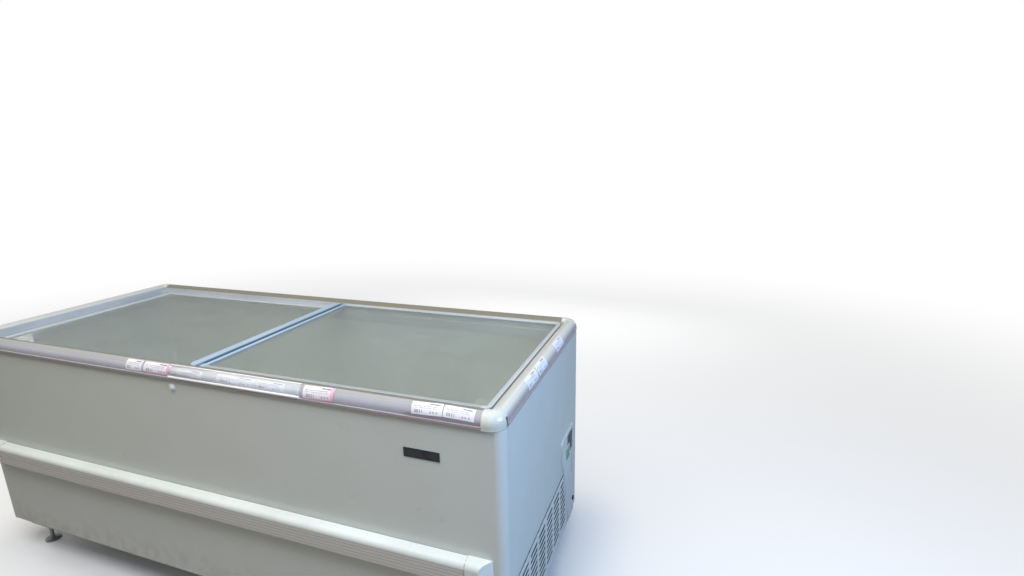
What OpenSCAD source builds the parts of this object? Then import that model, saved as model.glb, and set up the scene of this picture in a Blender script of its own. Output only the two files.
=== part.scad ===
// Island chest freezer with two sliding glass lids.
// Origin on the floor under the middle of the cabinet. X runs along the
// length, -Y is the front, +Z is up. Millimetres.

/* [Body] */
// Length of the painted body, outside
body_l = 1960; // [1500:10:2400]
// Depth of the painted body, outside
body_d = 750; // [640:5:900]
// Height of the rim's top above the floor
rim_z = 830; // [780:5:950]
// Height of the painted body's lower edge above the floor
skirt_z = 120; // [90:1:140]
// Outside radius of the body's upright corners
corner_r = 25; // [12:1:30]
// Thickness of the painted sheet
sheet_t = 1.5; // [1:0.1:2.5]
// Length of the front and back panels past their corner bends
return_l = 7; // [2:1:15]
// Width of the open joint between two panels
seam = 1; // [0.5:0.1:2]

/* [Well] */
// Thickness of the liner sheet
liner_t = 1.5; // [1:0.1:2.5]
// Inside radius of the liner's upright corners
liner_r = 20; // [10:1:40]
// Thickness of the foam under the well
floor_foam = 58; // [40:1:90]
// Length of the step over the machine bay
step_l = 300; // [220:5:380]
// Height of the step's top above the floor
step_z = 500; // [490:5:560]

/* [Rim] */
// Thickness of the tracks under their lower ledge
ledge_t = 3.2; // [3:0.1:20]
// Width of the price rails
rail_w = 41; // [36:1:52]
// Distance that the front and back rails stand out from the body
rail_out = 8; // [5:1:12]
// Distance that the end rails stand out from the body
end_out = 1; // [0:0.5:8]
// Depth of a rail's inner lip below the rim's top
lip_drop = 5; // [3:0.5:7]
// Height of a rail's crown above its inner lip
crown_h = 8; // [5:0.5:12]
// Distance from the inner lip to the crown
crown_in = 22; // [14:1:24]
// Height of the upright face along a rail's lower edge
lip_rise = 10; // [6:0.5:12]
// Outward bow of a rail's ticket face
ticket_bow = 7; // [4:0.5:8]
// Length of a corner cap along the front or back rail
cap_leg = 11; // [8:1:40]
// Distance that a corner cap stands proud of the rails
cap_proud = 0.5; // [0.5:0.5:3]
// Width of the notch between a corner cap and the end rail
notch_w = 12; // [4:1:16]
// Thickness of the track's outer wall
track_t = 2; // [1.5:0.5:4]
// Depth of the flange that covers the liner's top edge
flange_h = 30; // [8:1:40]

/* [Lids] */
// Length of each closed lid past the middle of the cabinet
lid_past = 0; // [0:1:40]
// Distance of the lower lid from its stop when the lids lie closed
lid_set = 50; // [0:1:60]
// Height of the lid frames
lid_h = 10; // [9:0.5:16]
// Width of the frame members along the tracks and at the cabinet's ends
member_w = 14; // [12:1:20]
// Width of the upper lid's meeting bar
upper_bar_w = 56; // [40:1:70]
// Width of the lower lid's meeting bar
lower_bar_w = 20; // [14:1:40]
// Width of the raised edge on the frame members
raised_w = 8; // [6:0.5:10]
// Width of the groove beside the raised edge
groove_w = 2; // [1:0.5:3]
// Width of the groove in the upper lid's meeting bar
seal_w = 8; // [4:1:12]
// Drop from the raised edge to the inner part of a member
lid_lip = 1.5; // [1:0.25:2]
// Outside radius of the lid corners
lid_r = 18; // [16:1:25]
// Thickness of the glass
glass_t = 4; // [3:0.5:5]
// Height of the glide ribs under the lids
rib_h = 5; // [3:0.5:7]
// Width of the glide ribs
rib_w = 4; // [3:0.5:6]

/* [Bumper] */
// Height of the bumper's lower edge above the floor
bumper_z = 374; // [300:1:420]
// Height of the bumper
bumper_h = 70; // [60:1:90]
// Distance that the bumper stands out from the body's face
bumper_out = 30; // [20:1:45]
// Length of each end cap of a bumper, at the body's face
bumper_cap_l = 65; // [50:1:90]
// Distance from the bumper's tip to the body's upright side
bumper_inset = 35; // [30:1:60]

/* [Ventilation grille] */
// Height of the grille panel
grille_h = 219; // [200:1:260]
// Thickness of the grille panel
grille_t = 4; // [3:0.5:6]
// Distance between two rows of slots
row_pitch = 19.5; // [16:0.5:26]
// Distance from the grille's lower edge to the first row
first_gap = 35; // [30:1:60]
// Distance from the last row to the grille's upper edge, at least
last_gap = 16; // [15:1:40]
// Height of a slot
slot_h = 11; // [8:0.5:13]
// Distance between two columns of slots
column_pitch = 81; // [60:1:100]
// Width of the bars between two columns
column_bar = 19; // [12:1:30]

/* [Controls] */
// Width of the control housing along its top
control_w = 159; // [140:1:175]
// Height of the control housing
control_h = 354; // [345:1:380]
// Thickness of the control housing
control_t = 6; // [5:0.5:10]

/* [Fittings] */
// Length of the plate on the front panel
plate_l = 97; // [60:1:140]
// Height of the plate on the front panel
plate_h = 25; // [15:1:40]
// Distance from the plate's middle to the body's upright side
plate_in = 211; // [120:1:400]
// Diameter of the round plug in the front panel
plug_d = 22; // [16:1:30]
// Diameter of a foot's pad
foot_d = 48; // [30:1:60]
// Height of the rails under the body
base_rail_h = 50; // [30:1:60]

/* [Hidden] */
$fn = 64;

// Clearances
ride = 0.3;
side_play = 5;
pass_gap = 5.5;
split = 0.3;
over = 1;

// Levels of the rim, the two tracks and the two lids
upper_top = rim_z - lip_drop - 1;
upper_under = upper_top - lid_h;
upper_ledge = upper_under - rib_h - ride;
lower_top = upper_under - pass_gap;
lower_under = lower_top - lid_h;
lower_ledge = lower_under - rib_h - ride;
wall_z = lower_ledge - ledge_t;
rail_h = rim_z - wall_z;
lip_level = rail_h - lip_drop;

// Plan places of the rim, the tracks and the well, from the centre planes
lip_x = body_l/2 + end_out - rail_w;
lip_y = body_d/2 + rail_out - rail_w;
ledge_w = side_play + rib_w + 2;
upper_half = lip_y - track_t - side_play;
drop_y = lip_y - track_t - ledge_w;
lower_half = drop_y - side_play;
well_y = drop_y - ledge_w;
well_x = lip_x - (lip_y - well_y);
stop_x = lip_x - track_t - side_play;
lid_l = stop_x + lid_past;
cap_w = rail_w + cap_proud;

// Inside faces of the painted sheet, and the faces of the foam
skin_x = body_l/2 - sheet_t;
skin_y = body_d/2 - sheet_t;
foam_x = well_x + liner_t;
foam_y = well_y + liner_t;
wall_foam = skin_y - foam_y;
pan_z = skirt_z + sheet_t;
floor_z = pan_z + floor_foam + liner_t;
step_x = well_x - step_l;
bay_x = step_x + liner_t + wall_foam;
bay_z = step_z - liner_t - wall_foam;

// Ventilation grille and controls, as places in Y and Z on the right end
grille_y = body_d/2 - 40;
grille_z = skirt_z + 4;
grille_top = grille_z + grille_h;
control_y = body_d/2 - 72;
control_top = grille_z + control_h;
shoulder_y = control_y - control_w;
shoulder_z = grille_top + 60;
split_low = control_y - 75;
split_high = split_low - 56;
first_row = grille_z + first_gap;
rows = floor((grille_h - first_gap - slot_h - last_gap)/row_pitch) + 1;
last_bar = split_high - 57;
opening_rim = 14;

// Place of the fittings on the front panel
plate_x = body_l/2 - plate_in;
plate_z = wall_z - 91;
plug_x = -23;
plug_z = wall_z - 24;

// Points on a shallow curve from a to b that bows by s to the right
function bow(a, b, s, n) = [
    for (i = [0:n])
        let (t = i/n, d = b - a)
            a + d*t + [d[1], -d[0]]/norm(d)*4*s*t*(1 - t)
];

// Rectangle about the origin with round corners
module rounded(l, d, r) {
    square([l - 2*r, d], center = true);
    square([l, d - 2*r], center = true);
    for (sx = [-1, 1], sy = [-1, 1])
        translate([sx*(l/2 - r), sy*(d/2 - r)]) circle(r);
}

// Box from its low corner to its high corner
module block(low, high) {
    translate(low) cube(high - low);
}

// Runs a section along the front: its x points out of the front, its y up
module front_run(l) {
    rotate([90, 0, -90]) linear_extrude(l, center = true) children();
}

// Runs a section along the right end: its x points out of the end, its y up
module end_run(l) {
    rotate([90, 0, 0]) linear_extrude(l, center = true) children();
}

module to_back() {
    rotate([0, 0, 180]) children();
}

// Feet and base
foot_x = body_l/2 - 90;
foot_y = body_d/2 - 60;
base_rail_w = 44;
base_rail_z = skirt_z - base_rail_h;

module foot() {
    cylinder(d = foot_d, h = 5);
    translate([0, 0, 5]) cylinder(d1 = foot_d, d2 = 22, h = 5);
    cylinder(d = 12, h = base_rail_z);
    translate([0, 0, base_rail_z - 7]) cylinder(d = 24, h = 7, $fn = 6);
}

module feet() {
    color("dimgray")
        for (x = [-foot_x, 0, foot_x], y = [-foot_y, foot_y])
            translate([x, y, 0]) foot();
}

module base_rails() {
    web = 3;
    color("dimgray")
        for (y = [-foot_y, foot_y])
            translate([0, y, base_rail_z])
                difference() {
                    translate([-skin_x + corner_r, -base_rail_w/2, 0])
                        cube([2*(skin_x - corner_r), base_rail_w, base_rail_h]);
                    translate([-skin_x, -base_rail_w/2 + web, web])
                        cube([2*skin_x, base_rail_w - 2*web, base_rail_h]);
                }
}

module base_pan() {
    color("gray")
        translate([0, 0, skirt_z])
            linear_extrude(sheet_t)
                rounded(2*skin_x, 2*skin_y, corner_r - sheet_t);
}

// Painted body
module skin_ring() {
    difference() {
        rounded(body_l, body_d, corner_r);
        rounded(2*skin_x, 2*skin_y, corner_r - sheet_t);
    }
}

return_y = body_d/2 - corner_r - return_l;

module front_panel() {
    color("gainsboro")
        translate([0, 0, skirt_z])
            linear_extrude(wall_z - skirt_z)
                intersection() {
                    skin_ring();
                    translate([-body_l, -body_d]) square([2*body_l, body_d - return_y]);
                }
}

module end_sheet() {
    half = return_y - seam;
    block([skin_x, -half, skirt_z], [body_l/2, half, wall_z]);
}

module right_end_panel() {
    low = grille_z + opening_rim;
    high = grille_top - opening_rim;
    color("gainsboro")
        difference() {
            end_sheet();
            translate([skin_x - over, 0, 0])
                rotate([90, 0, 90])
                    linear_extrude(sheet_t + 2*over)
                        polygon([
                            [-grille_y + opening_rim, low],
                            [slope_y(low) - opening_rim, low],
                            [slope_y(high) - opening_rim, high],
                            [-grille_y + opening_rim, high]
                        ]);
        }
}

module left_end_panel() {
    color("gainsboro") mirror([1, 0, 0]) end_sheet();
}

// Foam between the painted sheet and the liner, as slabs that don't touch
module long_slab() {
    translate([0, 0, pan_z])
        linear_extrude(wall_z - pan_z)
            intersection() {
                rounded(2*skin_x, 2*skin_y, corner_r - sheet_t);
                translate([-body_l, foam_y]) square([2*body_l, body_d]);
            }
}

module insulation() {
    y = foam_y - split;
    floor_top = floor_z - liner_t;
    step_under = step_z - liner_t;
    color("khaki") {
        long_slab();
        mirror([0, 1, 0]) long_slab();
        block([-skin_x, -y, pan_z], [-foam_x, y, wall_z]);
        block([-foam_x + split, -y, pan_z], [step_x + liner_t - split, y, floor_top]);
        block([step_x + liner_t, -y, pan_z], [bay_x, y, bay_z - split]);
        block([step_x + liner_t, -y, bay_z], [skin_x, y, step_under]);
        block([foam_x, -y, step_under + split], [skin_x, y, wall_z]);
    }
}

module well(grow) {
    difference() {
        translate([0, 0, floor_z - grow])
            linear_extrude(wall_z - floor_z + grow)
                rounded(2*(well_x + grow), 2*(well_y + grow), liner_r + grow);
        block([step_x + grow, -body_d, 0], [body_l, body_d, step_z - grow]);
    }
}

module liner() {
    color("whitesmoke")
        difference() {
            well(liner_t);
            well(0);
            translate([0, 0, wall_z - 1])
                linear_extrude(2) rounded(2*well_x, 2*well_y, liner_r);
        }
}

// Tracks that the lids slide on, and the sills at the ends
module track_section() {
    upper = upper_ledge - wall_z;
    lower = lower_ledge - wall_z;
    inner = well_y - lip_y;
    drop = drop_y - lip_y;
    polygon([
        [inner, 0], [0, 0], [0, lip_level - 2], [-track_t, lip_level - 2],
        [-track_t, upper], [drop, upper], [drop, lower],
        [inner - 2, lower], [inner - 2, -flange_h], [inner, -flange_h]
    ]);
}

track_x = lip_x - track_t;

module front_track() {
    color("silver")
        difference() {
            translate([0, -lip_y, wall_z]) front_run(2*track_x) track_section();
            for (s = [-1, 1])
                translate([s*(track_x + well_x - liner_r)/2, -well_y + 1, wall_z - flange_h/2])
                    cube([track_x - well_x + liner_r, 4, flange_h + 0.02], center = true);
        }
}

module end_sill() {
    block([track_x, -lip_y, wall_z], [lip_x, lip_y, wall_z + lip_level - 2]);
    block([well_x, -well_y + 2, wall_z], [track_x, well_y - 2, lower_ledge]);
    block([well_x - 2, -well_y + liner_r, wall_z - flange_h],
          [well_x, well_y - liner_r, lower_ledge]);
}

module right_sill() {
    color("silver") end_sill();
}

// Price rails and corner caps
module rail_section() {
    crown = [crown_in, lip_level + crown_h];
    polygon(concat(
        [[0, 0], [rail_w - 2, 0], [rail_w, 2], [rail_w, lip_rise - 1.5], [rail_w - 1, lip_rise]],
        bow([rail_w - 2.4, lip_rise], crown, ticket_bow, 12),
        bow(crown, [1.5, lip_level], 2, 5),
        [[0, lip_level - 1.5]]
    ));
}

module cap_section() {
    crown = [crown_in, lip_level + crown_h + cap_proud];
    polygon(concat(
        [[0, 0], [cap_w - 2, 0], [cap_w, 2]],
        bow([cap_w, 6], crown, ticket_bow + 1, 12),
        bow(crown, [0, lip_level + 1], 2.5, 5)
    ));
}

module front_rail() {
    color("silver")
        translate([0, -lip_y, wall_z])
            front_run(2*(lip_x - cap_leg)) rail_section();
}

module end_rail() {
    translate([lip_x, 0, wall_z])
        end_run(2*lip_y) rail_section();
}

// A cap turns the corner and stops short of the end rail below its crown
module corner_cap() {
    notch_h = rail_h - 12;
    color("ivory")
        translate([lip_x, -lip_y, wall_z])
            difference() {
                union() {
                    rotate([0, 0, -90]) rotate_extrude(angle = 90) cap_section();
                    translate([-cap_leg/2, 0, 0]) front_run(cap_leg) cap_section();
                }
                block([crown_in + 5, -notch_w, -over], [cap_w + over, over, notch_h]);
            }
}

// Bumpers along the front and the back
bumper_tip = body_l/2 - bumper_inset;
bumper_joint = bumper_tip - bumper_cap_l;

module bumper_section(grow) {
    out = bumper_out + grow;
    polygon(concat(
        [[0, -grow], [out - 3, -grow], [out, 3 - grow]],
        [for (z = [28, 33, 38]) each [[out, z], [out - 1, z], [out - 1, z + 1.2], [out, z + 1.2]]],
        bow([out, bumper_h - 17], [out - 10, bumper_h - 2.5 + grow], 2.6, 6),
        [[2, bumper_h + grow], [0, bumper_h + grow]]
    ));
}

module front_bumper() {
    color("gainsboro")
        translate([0, -body_d/2, bumper_z])
            front_run(2*bumper_joint) bumper_section(0);
}

module front_bumper_ends() {
    proud = 0.8;
    color("whitesmoke")
        for (s = [-1, 1])
            intersection() {
                translate([s*(bumper_joint + bumper_tip)/2, -body_d/2, bumper_z])
                    front_run(bumper_cap_l) bumper_section(proud);
                translate([0, -body_d/2, bumper_z - 5])
                    linear_extrude(bumper_h + 10)
                        polygon([
                            [s*bumper_joint, 0], [s*bumper_tip, 0],
                            [s*(bumper_tip - 27), -bumper_out - 1],
                            [s*bumper_joint, -bumper_out - 1]
                        ]);
            }
}

// Ventilation grille and controls on the right end
module on_end(t) {
    translate([body_l/2, 0, 0]) rotate([90, 0, 90]) linear_extrude(t) children();
}

function slope_y(z) = split_low - (z - grille_z)*(split_low - split_high)/grille_h;

module slot_row(z) {
    limit = slope_y(z) - 14;
    for (k = [-1:6]) {
        low = max(-grille_y + 12, last_bar - k*column_pitch - column_pitch + column_bar/2);
        high = min(limit, last_bar - k*column_pitch - column_bar/2);
        if (high - low > 25)
            translate([low, z]) square([high - low, slot_h]);
    }
}

module vent_grille() {
    color("gainsboro") {
        on_end(grille_t)
            difference() {
                polygon([
                    [-grille_y, grille_z], [split_low, grille_z],
                    [split_high, grille_top], [-grille_y, grille_top]
                ]);
                for (i = [0:rows - 1]) slot_row(first_row + i*row_pitch);
            }
        for (i = [0:rows - 1]) louvre(first_row + i*row_pitch);
    }
}

// One sloping blade, which stands behind a row of slots
module louvre(z) {
    low = -foam_y + 1;
    high = slope_y(z + slot_h) - opening_rim - 2;
    face = grille_t - 0.5;
    translate([body_l/2, (low + high)/2, z])
        end_run(high - low)
            polygon([
                [face, slot_h + 0.6], [face, slot_h - 1.2], [-9, 0], [-9, 1.8]
            ]);
}

display_low = [control_y - 95, control_top - 89];
display_size = [74, 77];
switch_low = [control_y - 110, control_top - 91];
switch_size = [41, 34];
slot_low = [control_y - 37, control_top - 190];
slot_size = [11, 82];
gland_at = [control_y - 12, grille_z + 54];

// The display's window bends round the switch
module display_outline() {
    difference() {
        translate(display_low) square(display_size);
        translate(switch_low - [24, 24]) square(switch_size + [30, 30]);
    }
}

module control_housing() {
    color("whitesmoke")
        difference() {
            on_end(control_t)
                difference() {
                    polygon([
                        [split_low + seam, grille_z], [control_y, grille_z],
                        [control_y, control_top - 15], [control_y - 15, control_top],
                        [shoulder_y + 10, control_top], [shoulder_y, control_top - 10],
                        [shoulder_y, shoulder_z], [split_high + seam, grille_top]
                    ]);
                    display_outline();
                    translate(switch_low) square(switch_size);
                    translate(gland_at) circle(8);
                }
            translate([control_t - 3, 0, 0]) on_end(4) translate(slot_low) square(slot_size);
        }
}

module display() {
    color("darkslategray")
        on_end(control_t - 2) display_outline();
}

module power_switch() {
    w = switch_size[0];
    h = switch_size[1];
    color("seagreen")
        translate([body_l/2, switch_low[0] + w/2, switch_low[1]])
            end_run(w)
                polygon([[0, 0], [control_t + 2.5, 0], [control_t - 1, h/2], [control_t + 0.5, h], [0, h]]);
}

module cable_gland() {
    color("black")
        difference() {
            on_end(control_t + 3) translate(gland_at) circle(8);
            translate([2, 0, 0]) on_end(control_t + 3) translate(gland_at) circle(4);
        }
}

// Fittings on the front panel
module front_plate() {
    color("black")
        translate([plate_x, -body_d/2, plate_z])
            front_run(plate_l)
                polygon([
                    [0, -plate_h/2], [1.2, -plate_h/2], [2, -plate_h/2 + 0.8],
                    [2, plate_h/2 - 0.8], [1.2, plate_h/2], [0, plate_h/2]
                ]);
}

module front_plug() {
    color("white")
        translate([plug_x, -body_d/2, plug_z])
            rotate([90, 0, 0])
                rotate_extrude()
                    polygon([
                        [0, 0], [plug_d/2, 0], [plug_d/2, 2], [plug_d/2 - 1.5, 3.5],
                        [plug_d/2 - 4, 3.5], [plug_d/2 - 5, 6], [0, 6]
                    ]);
}

// Lids. x runs from the meeting bar to the end bar, z from the frame's
// underside; bar is the width of the meeting bar.
glass_bite = 6;
glass_low = lid_h - lid_lip - 2 - glass_t;
inner_band = 12;
block_end = 6;

// Section of a frame member, w wide, with its outer edge at x = 0. A groove
// d deep lies between its raised edge and its inner band.
module member(w, raised, groove = groove_w, d = 1.2) {
    low = lid_h - lid_lip;
    polygon([
        [0, 0.8], [0.8, 0], [w - 0.6, 0], [w, 0.6], [w, low - 0.8], [w - 0.8, low],
        [raised + groove, low], [raised + groove, low - d], [raised, low - d],
        [raised, lid_h - 1], [raised - 1, lid_h], [1.5, lid_h], [0, lid_h - 1.5]
    ]);
}

// Section of the solid corner block at a meeting bar's end
module block_section() {
    polygon([
        [0, 0.8], [0.8, 0], [lid_r, 0], [lid_r, lid_h], [1.5, lid_h], [0, lid_h - 1.5]
    ]);
}

// Turns a section's outer edge outwards and bends it round a corner
module corner_bend() {
    rotate_extrude(angle = 90) translate([lid_r, 0]) mirror([1, 0]) children();
}

// Runs a section along x from x0 to x1, with its outer edge at y = half
module along_track(x0, x1, half) {
    translate([(x0 + x1)/2, half, 0]) front_run(x1 - x0) children();
}

module lid_glass(half, bar) {
    low = bar - glass_bite;
    high = lid_l - member_w + glass_bite;
    side = half - member_w + glass_bite;
    block([low, -side, glass_low], [high, side, glass_low + glass_t]);
}

module lid_end_bar(half, bar) {
    x = lid_l - lid_r;
    difference() {
        union() {
            translate([lid_l, 0, 0])
                mirror([1, 0, 0]) end_run(2*(half - lid_r)) member(member_w, raised_w);
            for (s = [0, 1])
                mirror([0, s, 0]) {
                    translate([x, half - lid_r, 0]) corner_bend() member(member_w, raised_w);
                    along_track(x - block_end, x, half) member(member_w, raised_w);
                }
        }
        lid_glass(half, bar);
    }
}

module lid_meeting_bar(half, bar) {
    difference() {
        union() {
            end_run(2*(half - lid_r)) children();
            for (s = [0, 1])
                mirror([0, s, 0]) {
                    translate([lid_r, half - lid_r, 0])
                        mirror([1, 0, 0]) corner_bend() block_section();
                    along_track(lid_r, bar + block_end, half) block_section();
                }
        }
        lid_glass(half, bar);
    }
}

module lid_back_rail(half, bar) {
    low = bar + block_end;
    high = lid_l - lid_r - block_end;
    difference() {
        union() {
            along_track(low, high, half) member(member_w, raised_w);
            block([low, half - rib_w, -rib_h], [high, half, 1]);
        }
        lid_glass(half, bar);
    }
}

// The upper lid lies at the right stop, the lower lid near the left stop
module place_upper() {
    translate([stop_x - lid_l, 0, upper_under]) children();
}

module place_lower() {
    translate([-stop_x + lid_set + lid_l, 0, lower_under]) mirror([1, 0, 0]) children();
}

feet();
base_rails();
base_pan();
front_panel();
to_back() front_panel();  // back_panel
left_end_panel();
right_end_panel();
insulation();
liner();
front_track();
to_back() front_track();  // back_track
mirror([1, 0, 0]) right_sill();  // left_sill
right_sill();
front_rail();
to_back() front_rail();  // back_rail
color("silver") mirror([1, 0, 0]) end_rail();  // left_rail
color("silver") end_rail();  // right_rail
mirror([1, 0, 0]) corner_cap();  // front_left_cap
corner_cap();  // front_right_cap
to_back() corner_cap();  // back_left_cap
mirror([0, 1, 0]) corner_cap();  // back_right_cap
front_bumper();
to_back() front_bumper();  // back_bumper
front_bumper_ends();
to_back() front_bumper_ends();  // back_bumper_ends
vent_grille();
control_housing();
display();
power_switch();
cable_gland();
front_plate();
front_plug();
color("lightcyan", 0.4) place_lower() lid_glass(lower_half, lower_bar_w);  // left_lid_glass
color("white") place_lower() mirror([0, 1, 0]) lid_back_rail(lower_half, lower_bar_w);  // left_lid_front_rail
color("white") place_lower() lid_back_rail(lower_half, lower_bar_w);  // left_lid_back_rail
color("white") place_lower() lid_end_bar(lower_half, lower_bar_w);  // left_lid_end_bar
color("white") place_lower()  // left_lid_meeting_bar
        lid_meeting_bar(lower_half, lower_bar_w) member(lower_bar_w, lower_bar_w - 8);
color("lightcyan", 0.4) place_upper() lid_glass(upper_half, upper_bar_w);  // right_lid_glass
color("white") place_upper() mirror([0, 1, 0]) lid_back_rail(upper_half, upper_bar_w);  // right_lid_front_rail
color("white") place_upper() lid_back_rail(upper_half, upper_bar_w);  // right_lid_back_rail
color("white") place_upper() lid_end_bar(upper_half, upper_bar_w);  // right_lid_end_bar
color("white") place_upper()  // right_lid_meeting_bar
        lid_meeting_bar(upper_half, upper_bar_w)
            member(upper_bar_w, upper_bar_w - seal_w - inner_band, seal_w, 4);
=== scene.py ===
"""Looks of an island chest freezer with two sliding glass lids.

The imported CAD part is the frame. This script gives its nodes their finishes and soft edges, adds the
small pieces that the CAD model leaves out, and sets the camera, the studio and the lamps. All places
are in metres in the part's own frame: X along the cabinet, -Y its front, +Z up.
"""

from __future__ import annotations

import logging
import math
from dataclasses import dataclass
from enum import Enum
from typing import Callable, Sequence, Union

import bmesh
import bpy
from mathutils import Matrix, Vector

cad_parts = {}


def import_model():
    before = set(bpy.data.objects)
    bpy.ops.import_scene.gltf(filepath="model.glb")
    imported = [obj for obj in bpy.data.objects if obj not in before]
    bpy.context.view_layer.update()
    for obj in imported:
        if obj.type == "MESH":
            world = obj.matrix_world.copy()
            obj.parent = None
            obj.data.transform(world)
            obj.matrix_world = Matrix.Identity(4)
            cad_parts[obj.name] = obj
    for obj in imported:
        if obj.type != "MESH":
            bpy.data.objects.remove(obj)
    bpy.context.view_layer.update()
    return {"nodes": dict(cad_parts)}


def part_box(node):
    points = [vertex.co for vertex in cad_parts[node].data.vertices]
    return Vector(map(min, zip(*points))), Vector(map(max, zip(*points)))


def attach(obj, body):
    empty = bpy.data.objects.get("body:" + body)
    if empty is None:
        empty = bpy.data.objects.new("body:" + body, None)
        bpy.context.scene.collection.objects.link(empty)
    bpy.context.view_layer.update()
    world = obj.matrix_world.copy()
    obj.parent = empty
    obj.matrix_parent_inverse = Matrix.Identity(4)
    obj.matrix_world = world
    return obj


log = logging.getLogger("freezer")

Colour = tuple[float, float, float, float]
Place = tuple[float, float, float]
Shape = bmesh.types.BMesh
Socket = bpy.types.NodeSocket
Feed = Union[float, Sequence[float], Socket]
Feeds = dict[Union[str, int], Feed]

MM = 0.001
SMOOTH_BELOW = math.radians(32)
WELD_WITHIN = 0.005 * MM
RAIL_CROWN_IN = 22 * MM
RAIL_LIP_RISE = 9.9 * MM
# the dark band of gasket colour and painted shade on the upper meeting bar: where it starts, and its width
SEAL_AND_SHADE_IN = 29.5 * MM
SEAL_AND_SHADE_WIDTH = 16 * MM
WHITE = (1.0, 1.0, 1.0, 1.0)


def srgb(red: int, green: int, blue: int) -> Colour:
    """Turns a screen colour into a shader colour.

    Args:
        red: Red, 0 to 255.
        green: Green, 0 to 255.
        blue: Blue, 0 to 255.

    Returns:
        The linear colour, with an alpha of 1.
    """
    def linear(level: int) -> float:
        """Undoes the screen's curve for one channel."""
        share = level / 255
        return share / 12.92 if share <= 0.04045 else ((share + 0.055) / 1.055) ** 2.4

    return (linear(red), linear(green), linear(blue), 1.0)


class Direction(Enum):
    """The way that an extruded strip runs, with how its die lines are stretched."""

    LENGTH = (1.1, 260.0, 260.0)
    DEPTH = (260.0, 1.1, 260.0)


class Graph:
    """Adds and joins the nodes of one node tree."""

    def __init__(self, tree: bpy.types.NodeTree) -> None:
        """Keeps the tree that the nodes go into."""
        self.tree = tree

    def feed(self, node: bpy.types.Node, feeds: Feeds) -> None:
        """Links or sets inputs of a node.

        Args:
            node: The node that takes the values.
            feeds: A socket to link or a plain value for each input, by name or number.
        """
        for name, value in feeds.items():
            if isinstance(value, Socket):
                self.tree.links.new(value, node.inputs[name])
            else:
                node.inputs[name].default_value = value

    def add(self, kind: str, feeds: Feeds | None = None, **settings: object) -> bpy.types.Node:
        """Adds one node.

        Args:
            kind: Blender's name of the node type.
            feeds: What goes into its inputs.
            **settings: Values of the node's own properties.

        Returns:
            The new node.
        """
        node = self.tree.nodes.new(kind)
        for name, value in settings.items():
            setattr(node, name, value)
        self.feed(node, feeds or {})
        return node

    def math(self, operation: str, a: Feed, b: Feed = 0.0) -> Socket:
        """Joins two numbers by a Math node and gives its result."""
        return self.add("ShaderNodeMath", {0: a, 1: b}, operation=operation).outputs[0]

    def times(self, a: Feed, b: Feed) -> Socket:
        """Multiplies two numbers."""
        return self.math("MULTIPLY", a, b)

    def blend(self, share: Feed, low: Feed, high: Feed) -> Socket:
        """Mixes two colours, with more of the second as the share rises."""
        return self.add("ShaderNodeMix", {0: share, 6: low, 7: high}, data_type="RGBA").outputs[2]

    def lay(self, under: Feed, colour: Feed, mask: Feed, strength: Feed) -> Socket:
        """Lays a colour over another where a mask shows, as far as the strength lets it."""
        return self.blend(self.times(mask, strength), under, colour)

    def remap(self, value: Feed, low: Feed, high: Feed, to_low: Feed = 0.0,
              to_high: Feed = 1.0) -> Socket:
        """Maps a range of numbers smoothly to another.

        Args:
            value: The number to map.
            low: Where the range starts.
            high: Where the range ends.
            to_low: What low becomes.
            to_high: What high becomes.

        Returns:
            The mapped number's socket.
        """
        feeds = {"Value": value, "From Min": low, "From Max": high, "To Min": to_low, "To Max": to_high}
        return self.add("ShaderNodeMapRange", feeds, interpolation_type="SMOOTHSTEP").outputs[0]

    def noise(self, place: Feed, scale: Feed, detail: float = 2.0, roughness: float = 0.5) -> Socket:
        """Adds a Noise Texture and gives its value."""
        feeds = {"Vector": place, "Scale": scale, "Detail": detail, "Roughness": roughness}
        return self.add("ShaderNodeTexNoise", feeds).outputs[0]

    def stretch(self, place: Feed, scale: Sequence[float], turn: Sequence[float] = (0, 0, 0)) -> Socket:
        """Scales and turns coordinates by a Mapping node."""
        return self.add("ShaderNodeMapping", {"Vector": place, "Scale": scale, "Rotation": turn}).outputs[0]

    def split(self, place: Feed) -> tuple[Socket, ...]:
        """Gives the X, Y and Z of a coordinate."""
        return tuple(self.add("ShaderNodeSeparateXYZ", {0: place}).outputs)

    def bump(self, height: Feed, strength: float, depth: float, onto: Socket | None = None) -> Socket:
        """Turns a height into a normal.

        Args:
            height: The height's socket, 0 to 1.
            strength: How much of the bump shows.
            depth: What a height of 1 stands for, in metres.
            onto: A normal that this bump adds to.

        Returns:
            The normal's socket.
        """
        feeds: Feeds = {"Height": height, "Strength": strength, "Distance": depth}
        if onto is not None:
            feeds["Normal"] = onto
        return self.add("ShaderNodeBump", feeds).outputs[0]

    def rays(self) -> tuple[Socket, Socket]:
        """Gives two masks: camera rays, and mirrored or transmitted rays."""
        ray = self.add("ShaderNodeLightPath").outputs
        return ray["Is Camera Ray"], self.math("MAXIMUM", ray["Is Glossy Ray"], ray["Is Transmission Ray"])

    def show(self, ending: str, share: Feed, first: bpy.types.Node, second: bpy.types.Node) -> None:
        """Mixes two shaders and shows them.

        Args:
            ending: Name of the tree's output node.
            share: How much of the second shader shows.
            first: The first shader's node.
            second: The second shader's node.
        """
        mixed = self.add("ShaderNodeMixShader", {0: share, 1: first.outputs[0], 2: second.outputs[0]})
        self.feed(self.tree.nodes[ending], {"Surface": mixed.outputs[0]})


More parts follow.
